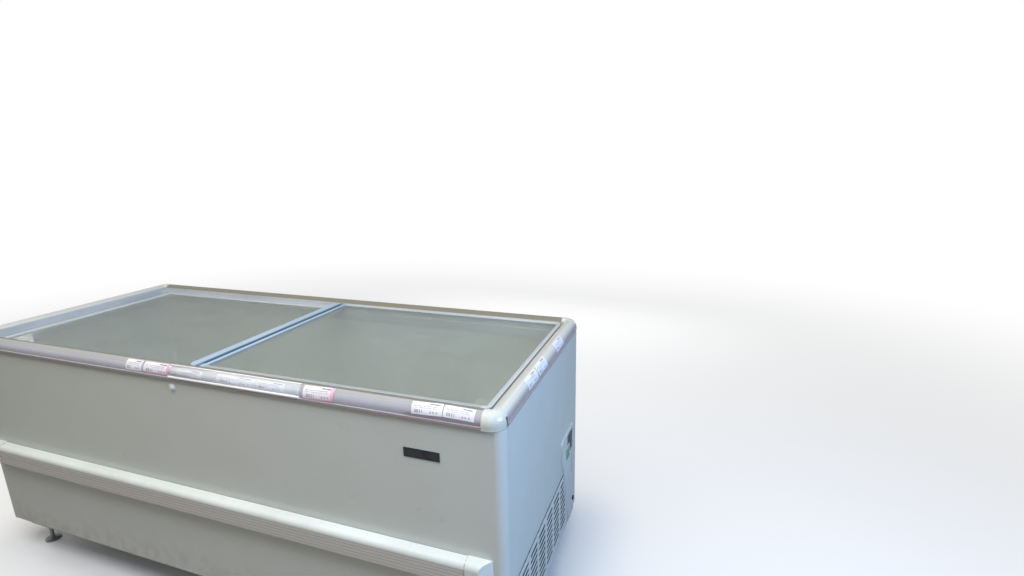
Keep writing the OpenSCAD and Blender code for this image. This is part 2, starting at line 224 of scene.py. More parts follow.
class Effects:
    """The shader node groups that several finishes share, each built once."""

    def __init__(self) -> None:
        """Builds all groups."""
        self.groups = {
            "mottle": self._group("colour_mottle", "Colour", self._mottle,
                                  Scale=2.0, Light=WHITE, Dark=WHITE),
            "peel": self._group("skin_height", "Height", self._peel, Scale=700.0),
            "scuffs": self._group("scuff_mask", "Mask", self._scuffs, Scale=14.0),
            "grime": self._group("grime_mask", "Mask", self._grime, Clean=0.3, Dirty=0.06),
            "streaks": self._group("extrusion_streaks", "Value", self._streaks, Stretch=(1, 1, 1)),
            "wear": self._group("edge_wear_mask", "Mask", self._wear, Reach=0.06),
        }

    @staticmethod
    def _group(name: str, gives: str, draw: Callable[..., Socket], **takes: Feed) -> bpy.types.NodeTree:
        """Makes one group.

        Args:
            name: The group's name.
            gives: The output's name; it is a number unless it is called Colour.
            draw: Draws the effect from the group's graph and inputs, and gives its result.
            **takes: First value of each input after Place, by name.

        Returns:
            The finished group.
        """
        tree = bpy.data.node_groups.new(name, "ShaderNodeTree")
        takes = {"Place": (0, 0, 0), **takes}
        for label, value in takes.items():
            kind = "Float" if isinstance(value, float) else "Vector" if len(value) == 3 else "Color"
            socket = tree.interface.new_socket(name=label, in_out="INPUT", socket_type=f"NodeSocket{kind}")
            socket.default_value = value
        kind = "Color" if gives == "Colour" else "Float"
        tree.interface.new_socket(name=gives, in_out="OUTPUT", socket_type=f"NodeSocket{kind}")
        graph = Graph(tree)
        entry = graph.add("NodeGroupInput").outputs
        graph.add("NodeGroupOutput", {0: draw(graph, *(entry[label] for label in takes))})
        return tree

    @staticmethod
    def _mottle(graph: Graph, place: Socket, scale: Socket, light: Socket, dark: Socket) -> Socket:
        """Changes slowly and finely between two close colours.

        Args:
            graph: The group's graph.
            place: The place on the piece.
            scale: Patches to a metre.
            light: The lighter colour.
            dark: The darker colour.

        Returns:
            The colour.
        """
        slow = graph.noise(place, scale, 3.0)
        fine = graph.noise(place, graph.times(scale, 11.0), 3.0, 0.6)
        both = graph.math("ADD", graph.times(slow, 0.75), graph.times(fine, 0.25))
        return graph.blend(graph.remap(both, 0.36, 0.64), dark, light)

    @staticmethod
    def _peel(graph: Graph, place: Socket, scale: Socket) -> Socket:
        """Gives the height of a sprayed or moulded skin.

        Args:
            graph: The group's graph.
            place: The place on the piece.
            scale: Grains to a metre.

        Returns:
            The height, with slow waves under the grain.
        """
        skin = graph.noise(place, scale, 1.0)
        wave = graph.noise(place, graph.math("DIVIDE", scale, 9.0), 1.0)
        return graph.math("ADD", graph.times(skin, 0.7), graph.times(wave, 0.3))

    @staticmethod
    def _scuffs(graph: Graph, place: Socket, scale: Socket) -> Socket:
        """Masks thin scratches that lie in patches.

        Args:
            graph: The group's graph.
            place: The place on the piece.
            scale: Scratches to a metre.

        Returns:
            The mask.
        """
        bent = graph.add("ShaderNodeTexNoise", {"Vector": place, "Scale": 6.0}).outputs["Color"]
        shifted = graph.add("ShaderNodeVectorMath", {0: place, 1: bent}, operation="ADD").outputs[0]
        long = graph.stretch(shifted, (0.35, 0.35, 1.6), (0.3, 0.5, 0.0))
        cells = graph.add("ShaderNodeTexVoronoi", {"Vector": long, "Scale": scale},
                          feature="DISTANCE_TO_EDGE")
        patch = graph.remap(graph.noise(place, 9.0, 3.0), 0.54, 0.66)
        return graph.times(graph.remap(cells.outputs[0], 0.0, 0.012, 1.0, 0.0), patch)

    @staticmethod
    def _grime(graph: Graph, place: Socket, clean: Socket, dirty: Socket) -> Socket:
        """Masks dirt that gathers low down and breaks up in specks, between a clean and a dirty height."""
        fall = graph.remap(graph.split(place)[2], clean, dirty)
        return graph.times(fall, graph.remap(graph.noise(place, 26.0, 5.0, 0.65), 0.38, 0.68))

    @staticmethod
    def _streaks(graph: Graph, place: Socket, stretch: Socket) -> Socket:
        """Gives a value that changes fast across an extrusion and slowly along it."""
        long = graph.add("ShaderNodeVectorMath", {0: place, 1: stretch}, operation="MULTIPLY").outputs[0]
        return graph.noise(long, 1.0, 4.0, 0.6)

    @staticmethod
    def _wear(graph: Graph, place: Socket, reach: Socket) -> Socket:
        """Masks rubbed outside edges.

        Args:
            graph: The group's graph.
            place: The place on the piece.
            reach: How far the rubbing reaches from an edge.

        Returns:
            The mask, broken up by noise.
        """
        edge, start = graph.add("ShaderNodeNewGeometry").outputs["Pointiness"], 0.52
        rubbed = graph.remap(edge, start, graph.math("ADD", start, reach))
        return graph.times(rubbed, graph.remap(graph.noise(place, 60.0, 4.0, 0.6), 0.35, 0.6))


class Surface(Graph):
    """The graph of one material, with its shader and its place on the piece."""

    def __init__(self, name: str, effects: Effects | None = None) -> None:
        """Makes the material.

        Args:
            name: The material's name.
            effects: The shared node groups, where it uses them.
        """
        self.material = bpy.data.materials.new(name)
        self.material.use_nodes = True
        super().__init__(self.material.node_tree)
        self.effects = effects
        self.shader = self.tree.nodes["Principled BSDF"]
        self.place = self.add("ShaderNodeTexCoord").outputs["Object"]

    def effect(self, name: str, **feeds: Feed) -> Socket:
        """Places a shared group on the piece.

        Args:
            name: The effect's name.
            **feeds: Its inputs after Place.

        Returns:
            The group's output.
        """
        group = self.add("ShaderNodeGroup", node_tree=self.effects.groups[name])
        self.feed(group, {"Place": self.place, **feeds})
        return group.outputs[0]

    def patches(self, scale: float, detail: float = 2.0, roughness: float = 0.5) -> Socket:
        """Adds a Noise Texture on the piece's own coordinates."""
        return self.noise(self.place, scale, detail, roughness)

    def distance(self, axis: int) -> Socket:
        """Gives how far the place is from the cabinet's middle along X (0) or Y (1)."""
        return self.math("ABSOLUTE", self.split(self.place)[axis])


@dataclass(frozen=True)
class Finish:
    """What every finish has: a name, two close colours and its gloss."""

    name: str
    colour: Colour
    shade: Colour
    roughness: float = 0.4

    def material(self, effects: Effects) -> bpy.types.Material:
        """Makes the material.

        Args:
            effects: The shared node groups.

        Returns:
            The material, ready to assign.
        """
        surface = Surface(self.name, effects)
        surface.material.diffuse_color = self.colour
        self.dress(surface)
        return surface.material

    def dress(self, surface: Surface) -> None:
        """Feeds the shader; each kind of finish has its own way."""
        raise NotImplementedError

    def mottled(self, surface: Surface, scale: float) -> Socket:
        """Mixes the finish's two colours in patches."""
        return surface.effect("mottle", Scale=scale, Light=self.colour, Dark=self.shade)

    def gloss(self, surface: Surface, value: Socket, less: float, more: float) -> Socket:
        """Varies the roughness with a value, from a little less to a little more."""
        return surface.remap(value, 0.3, 0.7, self.roughness - less, self.roughness + more)


@dataclass(frozen=True)
class PaintedSheet(Finish):
    """Sprayed steel sheet: orange peel, slow waves, scuffs, and dirt near the floor."""

    dirt: Colour = srgb(112, 104, 92)
    scuffed: float = 0.16
    soil: float = 0.2
    clean_from: float = 0.26
    dirty_at: float = 0.10

    def dress(self, surface: Surface) -> None:
        """Feeds the shader of a sprayed sheet.

        Args:
            surface: The material's graph.
        """
        marked = surface.lay(self.mottled(surface, 0.7), self.dirt, surface.effect("scuffs", Scale=9.0),
                             self.scuffed)
        grime = surface.effect("grime", Clean=self.clean_from, Dirty=self.dirty_at)
        gloss = self.gloss(surface, surface.patches(5.0, 4.0), 0.05, 0.07)
        waved = surface.bump(surface.patches(3.2, 1.0), 0.35, 3.0 * MM)
        surface.feed(surface.shader, {
            "Base Color": surface.lay(marked, self.dirt, grime, self.soil),
            "Roughness": surface.math("ADD", gloss, surface.times(grime, 0.25)),
            "Coat Weight": 0.12, "Coat Roughness": 0.15,
            "Normal": surface.bump(surface.effect("peel", Scale=520.0), 0.16, 0.25 * MM, waved),
        })


@dataclass(frozen=True)
class MouldedPlastic(Finish):
    """Moulded plastic: faint grain, rubbed edges, scuffs and handling dirt."""

    grain: float = 0.12
    coat: float = 0.0
    scuffed: float = 0.15
    worn: Colour = srgb(235, 234, 228)
    dirt: Colour = srgb(120, 112, 98)

    def tone(self, surface: Surface, body: Socket) -> Socket:
        """Gives the moulding's colour before its wear."""
        return body

    def dress(self, surface: Surface) -> None:
        """Feeds the shader of a moulding.

        Args:
            surface: The material's graph.
        """
        tone = self.tone(surface, self.mottled(surface, 4.5))
        rubbed = surface.lay(tone, self.worn, surface.effect("wear", Reach=0.08), 0.35)
        scuffs = surface.effect("scuffs", Scale=22.0)
        surface.feed(surface.shader, {
            "Base Color": surface.lay(rubbed, self.dirt, scuffs, self.scuffed),
            "Roughness": self.gloss(surface, surface.patches(18.0, 4.0), 0.04, 0.08),
            "Coat Weight": self.coat, "Coat Roughness": 0.08,
            "Normal": surface.bump(surface.effect("peel", Scale=900.0), self.grain, 0.2 * MM),
        })


@dataclass(frozen=True)
class GrillePlastic(MouldedPlastic):
    """Grille moulding with painted shade on the louvres behind its face."""

    # painted shade for the louvres behind the face
    painted_recess_shade: Colour = srgb(58, 62, 68)
    face_x: float = 0.0

    def tone(self, surface: Surface, body: Socket) -> Socket:
        """Paints shade onto what lies behind the face."""
        x, face = surface.split(surface.place)[0], self.face_x
        # painted shade: what lies more than a little behind the face turns dark, as the slots would look in
        # shade
        return surface.blend(surface.remap(x, face - 0.3 * MM, face - 1.5 * MM), body, self.painted_recess_shade)


@dataclass(frozen=True)
class BumperCapPlastic(MouldedPlastic):
    """Bumper end cap with old glue along its joint."""

    glue: Colour = srgb(150, 122, 92)
    joint_x: float = 0.0

    def tone(self, surface: Surface, body: Socket) -> Socket:
        """Adds a broken brown line at the joint.

        Args:
            surface: The material's graph.
            body: The plain cap's colour.

        Returns:
            The cap's colour.
        """
        line = surface.remap(surface.distance(0), self.joint_x + 3.0 * MM, self.joint_x + 1.2 * MM)
        broken = surface.remap(surface.patches(150.0, 3.0, 0.6), 0.40, 0.55)
        return surface.lay(body, self.glue, line, broken)


@dataclass(frozen=True)
class ExtrudedPlastic(Finish):
    """Extruded strip: die lines along it, and scuffs."""

    along: Direction = Direction.LENGTH
    coat: float = 0.1
    scuffed: float = 0.2
    dirt: Colour = srgb(110, 104, 96)

    def tone(self, surface: Surface, body: Socket) -> Socket:
        """Gives the strip's colour before its scuffs."""
        return body

    def dress(self, surface: Surface) -> None:
        """Feeds the shader of an extrusion.

        Args:
            surface: The material's graph.
        """
        lines = surface.effect("streaks", Stretch=self.along.value)
        share = surface.remap(lines, 0.35, 0.75, 0.0, 0.35)
        tone = self.tone(surface, surface.blend(share, self.mottled(surface, 3.0), self.shade))
        surface.feed(surface.shader, {
            "Base Color": surface.lay(tone, self.dirt, surface.effect("scuffs", Scale=16.0), self.scuffed),
            "Roughness": self.gloss(surface, lines, 0.05, 0.08),
            "Coat Weight": self.coat, "Coat Roughness": 0.1,
            "Normal": surface.bump(lines, 0.1, 0.15 * MM),
        })


@dataclass(frozen=True)
class PriceRail(ExtrudedPlastic):
    """Price rail with painted light and shade: its crown paler or darker as the light falls, painted shade
    on the slope towards the lid and along its lip, and a painted shadow under the tickets at the right end.
    """

    # painted light and shade: colours for the crown, the slope towards the lid and the lip, and a painted
    # shadow under the right-end tickets
    crown: Colour = srgb(204, 205, 204)
    crown_from: float = 0.0
    crown_full: float = 0.0
    inner_painted_shade: Colour = srgb(168, 166, 155)
    inner_at: float = 0.0
    lip: Colour = srgb(156, 145, 143)
    lip_top: float = 0.0
    stain_and_painted_shadow: Colour = srgb(158, 145, 150)
    painted_shadow_top: float = 0.0
    painted_shadow_from: float = 0.0

    def tone(self, surface: Surface, body: Socket) -> Socket:
        """Paints light and shade up the rail's section, and a painted shadow low down at its right end.

        Args:
            surface: The material's graph.
            body: The plain strip's colour.

        Returns:
            The rail's colour.
        """
        x, y, z = surface.split(surface.place)
        lengthwise = self.along is Direction.LENGTH
        across = surface.math("ABSOLUTE", y if lengthwise else x)
        # painted light on the crown, lighter or darker than the body as the light falls
        crown_lit = surface.blend(surface.remap(z, self.crown_from, self.crown_full), body, self.crown)
        # painted shade on the slope towards the lid
        inside = surface.remap(across, self.inner_at + 0.4 * MM, self.inner_at - 0.4 * MM)
        lit_and_shaded = surface.blend(inside, crown_lit, self.inner_painted_shade)
        if not lengthwise:
            return lit_and_shaded
        # painted shadow under the tickets near the right end
        low = surface.remap(z, self.painted_shadow_top, self.painted_shadow_top - 5 * MM)
        spread = surface.remap(x, self.painted_shadow_from, self.painted_shadow_from + 30 * MM)
        with_painted_shadow = surface.lay(lit_and_shaded, self.stain_and_painted_shadow, surface.times(low, spread), 0.8)
        # painted shade on the lip's lower face
        return surface.blend(surface.remap(z, self.lip_top, self.lip_top - 0.6 * MM), with_painted_shadow, self.lip)


@dataclass(frozen=True)
class BumperStrip(ExtrudedPlastic):
    """Bumper strip: pale sloping top, a face painted greyer as shade with painted shade in its grooves, a
    darker foot, and a painted shadow line along the panel.
    """

    # painted shade on the face and in its grooves, and a painted shadow line where the bumper meets the
    # panel
    face: Colour = srgb(205, 201, 193)
    painted_rib_shade: Colour = srgb(152, 146, 138)
    seat: Colour = srgb(116, 120, 108)
    foot_z: float = 0.0
    panel_y: float = 0.0
    pitch: float = 9.5 * MM
    face_top: float = 50 * MM

    def tone(self, surface: Surface, body: Socket) -> Socket:
        """Changes the colour up the bumper's section: painted shade on the face and in its grooves, a
        darker foot, and a painted shadow line along the panel.

        Args:
            surface: The material's graph.
            body: The plain strip's colour.

        Returns:
            The bumper's colour.
        """
        level = surface.math("SUBTRACT", surface.split(surface.place)[2], self.foot_z)
        # painted shade: the upright face is greyer than the top
        face_shade_share = surface.remap(level, self.face_top + 6 * MM, self.face_top - 2 * MM)
        face_shaded = surface.blend(face_shade_share, body, self.face)
        # painted shade in the grooves across the face
        wave = surface.math("SINE", surface.times(level, math.tau / self.pitch))
        rib_shade_share = surface.times(surface.remap(wave, 0.35, 0.95), face_shade_share)
        # darker towards the bottom edge
        foot = surface.remap(level, 9 * MM, 0.0)
        rib_shade_and_darker_foot = surface.math("MAXIMUM", surface.times(rib_shade_share, 0.5), surface.times(foot, 0.6))
        # painted shadow in the narrow gap along the panel
        seat_shadow_share = surface.remap(surface.distance(1), self.panel_y + 2.6 * MM, self.panel_y + 1.2 * MM)
        return surface.lay(surface.blend(rib_shade_and_darker_foot, face_shaded, self.painted_rib_shade), self.seat, seat_shadow_share, 0.85)


@dataclass(frozen=True)
class MeetingBar(ExtrudedPlastic):
    """Upper lid's meeting bar, tinted blue as a painted reflection, with a dark band over its groove that
    is partly the gasket's colour and partly painted shade.
    """

    # dark band: gasket colour, with painted shade on each side of it
    seal: Colour = srgb(98, 122, 142)
    seal_from: float = 0.0
    soft: float = 0.3 * MM

    def tone(self, surface: Surface, body: Socket) -> Socket:
        """Darkens a band wider than the gasket: the gasket's dark colour and painted shade beside the
        groove.

        Args:
            surface: The material's graph.
            body: The plain strip's colour.

        Returns:
            The bar's colour.
        """
        across, last = surface.split(surface.place)[0], self.seal_from + SEAL_AND_SHADE_WIDTH
        rises = surface.remap(across, self.seal_from - self.soft, self.seal_from + self.soft)
        falls = surface.remap(across, last + self.soft, last - self.soft)
        # painted shade beside the groove, with the gasket's dark colour
        return surface.lay(body, self.seal, rises, falls)


@dataclass(frozen=True)
class PlatedSteel(Finish):
    """Zinc-plated or galvanised steel with soft spangle and dull stains."""

    spangle: float = 90.0
    dulled: Colour = srgb(122, 116, 106)

    def dress(self, surface: Surface) -> None:
        """Feeds the shader of plated steel.

        Args:
            surface: The material's graph.
        """
        cells = surface.add("ShaderNodeTexVoronoi", {"Vector": surface.place, "Scale": self.spangle})
        tone = surface.remap(surface.split(cells.outputs["Color"])[0], 0.0, 1.0, 0.0, 0.6)
        stain_and_painted_shadow = surface.remap(surface.patches(22.0, 5.0, 0.65), 0.5, 0.75, 0.0, 0.5)
        surface.feed(surface.shader, {
            "Base Color": surface.blend(stain_and_painted_shadow, surface.blend(tone, self.colour, self.shade), self.dulled),
            "Roughness": self.gloss(surface, surface.patches(60.0, 3.0), 0.08, 0.12), "Metallic": 0.85,
            "Normal": surface.bump(surface.effect("peel", Scale=600.0), 0.1, 0.2 * MM),
        })


@dataclass(frozen=True)
class FoamCore(Finish):
    """Cut rigid foam with open cells."""

    def dress(self, surface: Surface) -> None:
        """Feeds the shader of foam.

        Args:
            surface: The material's graph.
        """
        cells = surface.add("ShaderNodeTexVoronoi", {"Vector": surface.place, "Scale": 420.0}).outputs[0]
        pores = surface.remap(cells, 0.0, 0.5, 0.3, 0.0)
        surface.feed(surface.shader, {
            "Base Color": surface.blend(pores, self.mottled(surface, 6.0), self.shade),
            "Roughness": self.roughness,
            "Normal": surface.bump(cells, 0.6, 1.0 * MM),
        })


@dataclass(frozen=True)
class ClearPane(Finish):
    """Clear glass or clear film, with smears, that lets the lamps through."""

    body: float = 0.05
    index: float = 1.5
    smear_scale: float = 5.0
    smear: float = 0.1
    opening: Colour = (0.86, 0.9, 0.88, 1.0)

    def dress(self, surface: Surface) -> None:
        """Feeds the shader of a pane and opens it to lamps.

        Args:
            surface: The material's graph.
        """
        wiped = surface.stretch(surface.place, (1.0, 2.6, 1.0), (0.0, 0.0, 0.5))
        film = surface.remap(surface.noise(wiped, self.smear_scale, 5.0, 0.6), 0.42, 0.72)
        surface.feed(surface.shader, {
            "Base Color": surface.blend(film, self.colour, self.shade),
            "Roughness": surface.math("ADD", self.roughness, surface.times(film, self.smear)),
            "IOR": self.index, "Transmission Weight": 1.0 - self.body,
        })
        shadow = surface.add("ShaderNodeLightPath").outputs["Is Shadow Ray"]
        opening = surface.add("ShaderNodeBsdfTransparent", {"Color": self.opening})
        surface.show("Material Output", shadow, surface.shader, opening)


@dataclass(frozen=True)
class TicketPaper(Finish):
    """Laminated paper ticket with plain printed bars, and an optional tinted edge."""

    ink: Colour = srgb(84, 82, 92)
    tint: Colour = srgb(234, 178, 202)
    tinted: bool = False
    text_box: Colour = (0.07, 0.52, 0.84, 0.74)
    heading_box: Colour = (0.58, 0.80, 0.90, 0.91)
    code_box: Colour = (0.10, 0.14, 0.36, 0.40)
    figures: tuple[float, ...] = (0.60, 0.69, 0.80)
    figure_size: tuple[float, float] = (0.055, 0.14)
    figure_foot: float = 0.16

    @staticmethod
    def _box(surface: Surface, across: Feed, up: Feed, box: Sequence[float]) -> Socket:
        """Masks a rectangle of the ticket.

        Args:
            surface: The material's graph.
            across: Place along the ticket, 0 to 1.
            up: Place up the ticket, 0 to 1.
            box: The rectangle's left, lower, right and upper edge.

        Returns:
            A socket that is 1 inside and 0 outside.
        """
        inside: Feed = 1.0
        for value, first, last in ((across, box[0], box[2]), (up, box[1], box[3])):
            within = surface.times(surface.math("GREATER_THAN", value, first),
                                   surface.math("LESS_THAN", value, last))
            inside = surface.times(inside, within)
        return inside

    def dress(self, surface: Surface) -> None:
        """Feeds the shader of a ticket from its own map.

        Args:
            surface: The material's graph.
        """
        def dashed(size: Place, detail: float, over: float) -> Socket:
            """Breaks the map into dashes of one size."""
            spots = surface.noise(surface.stretch(chart, size), 1.0, detail)
            return surface.math("GREATER_THAN", spots, over)

        chart = surface.add("ShaderNodeUVMap", uv_map="ticket").outputs[0]
        across, up, _ = surface.split(chart)
        rows = surface.math("GREATER_THAN", surface.math("FRACT", surface.times(up, 7.0)), 0.52)
        dashes = dashed((26.0, 7.0, 1.0), 1.0, 0.42)
        lines = surface.times(surface.times(rows, dashes), self._box(surface, across, up, self.text_box))
        heading = surface.times(self._box(surface, across, up, self.heading_box), dashes)
        stripes = dashed((64.0, 0.0, 1.0), 0.0, 0.5)
        code = surface.times(stripes, self._box(surface, across, up, self.code_box))
        figure: Feed = 0.0
        wide, high = self.figure_size
        for left in self.figures:
            box = (left, self.figure_foot, left + wide, self.figure_foot + high)
            figure = surface.math("ADD", figure, self._box(surface, across, up, box))
        dark = surface.math("MAXIMUM", surface.times(code, 0.85), surface.times(figure, 0.5))
        pale = surface.math("MAXIMUM", surface.times(lines, 0.5), surface.times(heading, 0.8))
        printed = surface.blend(surface.math("MAXIMUM", dark, pale), self.mottled(surface, 30.0), self.ink)
        if self.tinted:
            side, foot = surface.math("GREATER_THAN", across, 0.89), surface.math("LESS_THAN", up, 0.10)
            printed = surface.blend(surface.math("MAXIMUM", side, foot), printed, self.tint)
        fibre = surface.patches(1500.0, 2.0)
        surface.feed(surface.shader, {
            "Base Color": printed,
            "Roughness": self.gloss(surface, fibre, 0.0, 0.1),
            "Coat Weight": 0.25, "Coat Roughness": 0.2,
            "Normal": surface.bump(fibre, 0.08, 0.1 * MM),
        })


@dataclass(frozen=True)
class Levels:
    """Heights and lines that the finishes share, in metres."""

    rail_lip: float
    rail_crown: float
    crown_x: float
    crown_y: float
    bumper_foot: float
    bumper_joint: float
    panel_y: float
    grille_x: float
    seal_from: float

    @classmethod
    def from_frame(cls) -> Levels:
        """Reads the heights and lines from the frame's boxes.

        Returns:
            The levels of this cabinet.
        """
        low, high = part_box("front_rail")
        foot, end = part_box("front_bumper")
        return cls(rail_lip=low.z + RAIL_LIP_RISE, rail_crown=high.z,
                   crown_x=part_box("right_rail")[0].x + RAIL_CROWN_IN, crown_y=-high.y + RAIL_CROWN_IN,
                   bumper_foot=foot.z, bumper_joint=end.x, panel_y=-end.y,
                   grille_x=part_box("vent_grille")[1].x,
                   seal_from=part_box("right_lid_meeting_bar")[0].x + SEAL_AND_SHADE_IN)


class Finishes:
    """Makes the material of each finish once."""

    def __init__(self, effects: Effects, levels: Levels) -> None:
        """Builds the materials.

        Args:
            effects: The shared node groups.
            levels: Heights that some finishes change at.
        """
        depth = Direction.DEPTH
        kinds = (
            PaintedSheet("painted_sheet", srgb(209, 212, 205), srgb(204, 207, 199), 0.34),
            # the rails' crown, slope and lip colours are painted light and shade; the front rail's right
            # end gets a painted shadow
            PriceRail("price_rail_length", srgb(194, 193, 202), srgb(183, 182, 191), 0.3,
                      crown=srgb(170, 170, 168), inner_painted_shade=srgb(134, 128, 110),
                      crown_from=levels.rail_crown - 16 * MM, crown_full=levels.rail_crown - 3 * MM,
                      inner_at=levels.crown_y, lip_top=levels.rail_lip, painted_shadow_top=levels.rail_lip + 13 * MM,
                      painted_shadow_from=0.72),
            # painted shade: the side rail's body is darker and warmer than the front rail's, for the shade
            # on its outer face
            PriceRail("price_rail_depth", srgb(184, 170, 166), srgb(174, 160, 156), 0.3, depth,
                      crown=srgb(214, 210, 196), crown_from=levels.rail_crown - 26 * MM,
                      crown_full=levels.rail_crown - 6 * MM, inner_painted_shade=srgb(200, 200, 194),
                      inner_at=levels.crown_x),
            MouldedPlastic("cap_plastic", srgb(217, 218, 207), srgb(208, 209, 197), 0.22, coat=0.5,
                           grain=0.04, scuffed=0.12),
            BumperStrip("bumper_plastic", srgb(230, 234, 227), srgb(220, 223, 215), 0.34, scuffed=0.35,
                        foot_z=levels.bumper_foot, panel_y=levels.panel_y),
            BumperCapPlastic("bumper_cap_plastic", srgb(226, 229, 221), srgb(215, 218, 209), 0.34,
                             scuffed=0.3, joint_x=levels.bumper_joint),
            GrillePlastic("grille_plastic", srgb(212, 215, 210), srgb(203, 206, 200), 0.42, grain=0.2,
                          face_x=levels.grille_x),
            MouldedPlastic("housing_plastic", srgb(212, 215, 210), srgb(202, 205, 199), 0.38, grain=0.22),
            MouldedPlastic("display_window", srgb(66, 72, 80), srgb(52, 58, 66), 0.45, grain=0.05,
                           worn=srgb(88, 94, 102), scuffed=0.05),
            MouldedPlastic("switch_rocker", srgb(58, 146, 112), srgb(48, 130, 100), 0.25, coat=0.3,
                           scuffed=0.05),
            MouldedPlastic("gland_rubber", srgb(38, 38, 40), srgb(30, 30, 32), 0.65, grain=0.3,
                           worn=srgb(80, 80, 82)),
            MouldedPlastic("plate_black", srgb(20, 21, 24), srgb(14, 15, 17), 0.42, coat=0.1, grain=0.05,
                           worn=srgb(90, 90, 92), scuffed=0.05),
            MouldedPlastic("plug_white", srgb(228, 228, 222), srgb(218, 218, 210), 0.3, coat=0.3,
                           grain=0.05),
            ExtrudedPlastic("lid_frame_length", srgb(206, 208, 208), srgb(195, 198, 198), 0.26, coat=0.3,
                            scuffed=0.12),
            ExtrudedPlastic("lid_frame_depth", srgb(204, 208, 210), srgb(193, 198, 201), 0.26, depth,
                            coat=0.3, scuffed=0.12),
            # painted shade: the lids' front frames are a greyer copy of the frame plastic, where the front
            # rail's crown shades them
            ExtrudedPlastic("lid_frame_front_shaded", srgb(176, 179, 178), srgb(166, 169, 168), 0.3, coat=0.2,
                            scuffed=0.12),
            # painted reflection: the upper lid's meeting bar is a blue copy of the white frame plastic
            MeetingBar("meeting_bar_blue_reflection", srgb(184, 205, 222), srgb(172, 195, 214), 0.26, depth, coat=0.3,
                       scuffed=0.12, seal_from=levels.seal_from),
            ExtrudedPlastic("gasket_blue", srgb(74, 96, 116), srgb(62, 84, 104), 0.5, depth, coat=0.0,
                            scuffed=0.1),
            ExtrudedPlastic("track_length", srgb(196, 200, 202), srgb(184, 188, 190), 0.4, scuffed=0.4),
            ExtrudedPlastic("track_depth", srgb(196, 200, 202), srgb(184, 188, 190), 0.4, depth,
                            scuffed=0.4),
            PaintedSheet("liner_sheet", srgb(213, 215, 211), srgb(203, 206, 201), 0.3, clean_from=0.2,
                         dirty_at=0.1, dirt=srgb(168, 168, 160)),
            FoamCore("foam", srgb(214, 196, 142), srgb(186, 164, 108), 0.9),
            PlatedSteel("base_steel", srgb(150, 152, 154), srgb(128, 130, 133), 0.45),
            PlatedSteel("foot_steel", srgb(172, 173, 174), srgb(148, 149, 151), 0.35, spangle=400.0),
            PlatedSteel("screw_steel", srgb(196, 197, 198), srgb(172, 173, 175), 0.3, spangle=900.0),
            ClearPane("lid_glass", (0.57, 0.60, 0.57, 1.0), (0.545, 0.575, 0.545, 1.0), 0.004, body=0.11),
            # painted highlight: opaque white for the bright lines along the clear sleeve's edges
            MouldedPlastic("sleeve_bead_highlight", srgb(246, 246, 248), srgb(238, 238, 242), 0.12, coat=0.8,
                           grain=0.02, scuffed=0.05),
            ClearPane("clear_sleeve", (0.96, 0.96, 0.97, 1.0), (0.92, 0.92, 0.93, 1.0), 0.05, body=0.05,
                      index=1.25, smear_scale=40.0, smear=0.15),
            TicketPaper("ticket_paper", srgb(240, 238, 242), srgb(232, 229, 235), 0.42),
            # painted shade: a greyer copy of the ticket paper for the tickets behind the clear sleeve
            TicketPaper("ticket_paper_shaded", srgb(212, 209, 216), srgb(202, 198, 207), 0.5),
            TicketPaper("ticket_paper_tinted", srgb(240, 236, 241), srgb(232, 226, 233), 0.42, tinted=True),
        )
        self.materials = {kind.name: kind.material(effects) for kind in kinds}

    def __getitem__(self, name: str) -> bpy.types.Material:
        """Gives a material by its finish's name."""
        return self.materials[name]


def soft_shading(name: str, limit: float) -> bpy.types.NodeTree:
    """Makes a geometry node group that shades smoothly across shallow edges only.

    Args:
        name: The group's name.
        limit: Edges that turn by more than this stay sharp, in radians.

    Returns:
        The group, for a Nodes modifier.
    """
    tree = bpy.data.node_groups.new(name, "GeometryNodeTree")
    for way in ("INPUT", "OUTPUT"):
        tree.interface.new_socket(name="Mesh", in_out=way, socket_type="NodeSocketGeometry")
    graph = Graph(tree)
    entry = graph.add("NodeGroupInput")
    turn = graph.add("GeometryNodeInputMeshEdgeAngle").outputs["Unsigned Angle"]
    sharp = graph.add("FunctionNodeCompare", {0: turn, 1: limit}, data_type="FLOAT",
                      operation="GREATER_THAN")
    shaded = graph.add("GeometryNodeSetMeshNormal",
                       {"Mesh": entry.outputs[0], "Remove Custom": True,
                        "Edge Sharpness": sharp.outputs[0], "Face Sharpness": False}, mode="SHARPNESS")
    graph.add("NodeGroupOutput", {0: shaded.outputs[0]})
    return tree


@dataclass(frozen=True)
class Dressing:
    """One finish, the nodes that wear it, and how far their edges are eased."""

    finish: str
    nodes: str
    easing: float = 0.4 * MM
    steps: int = 2


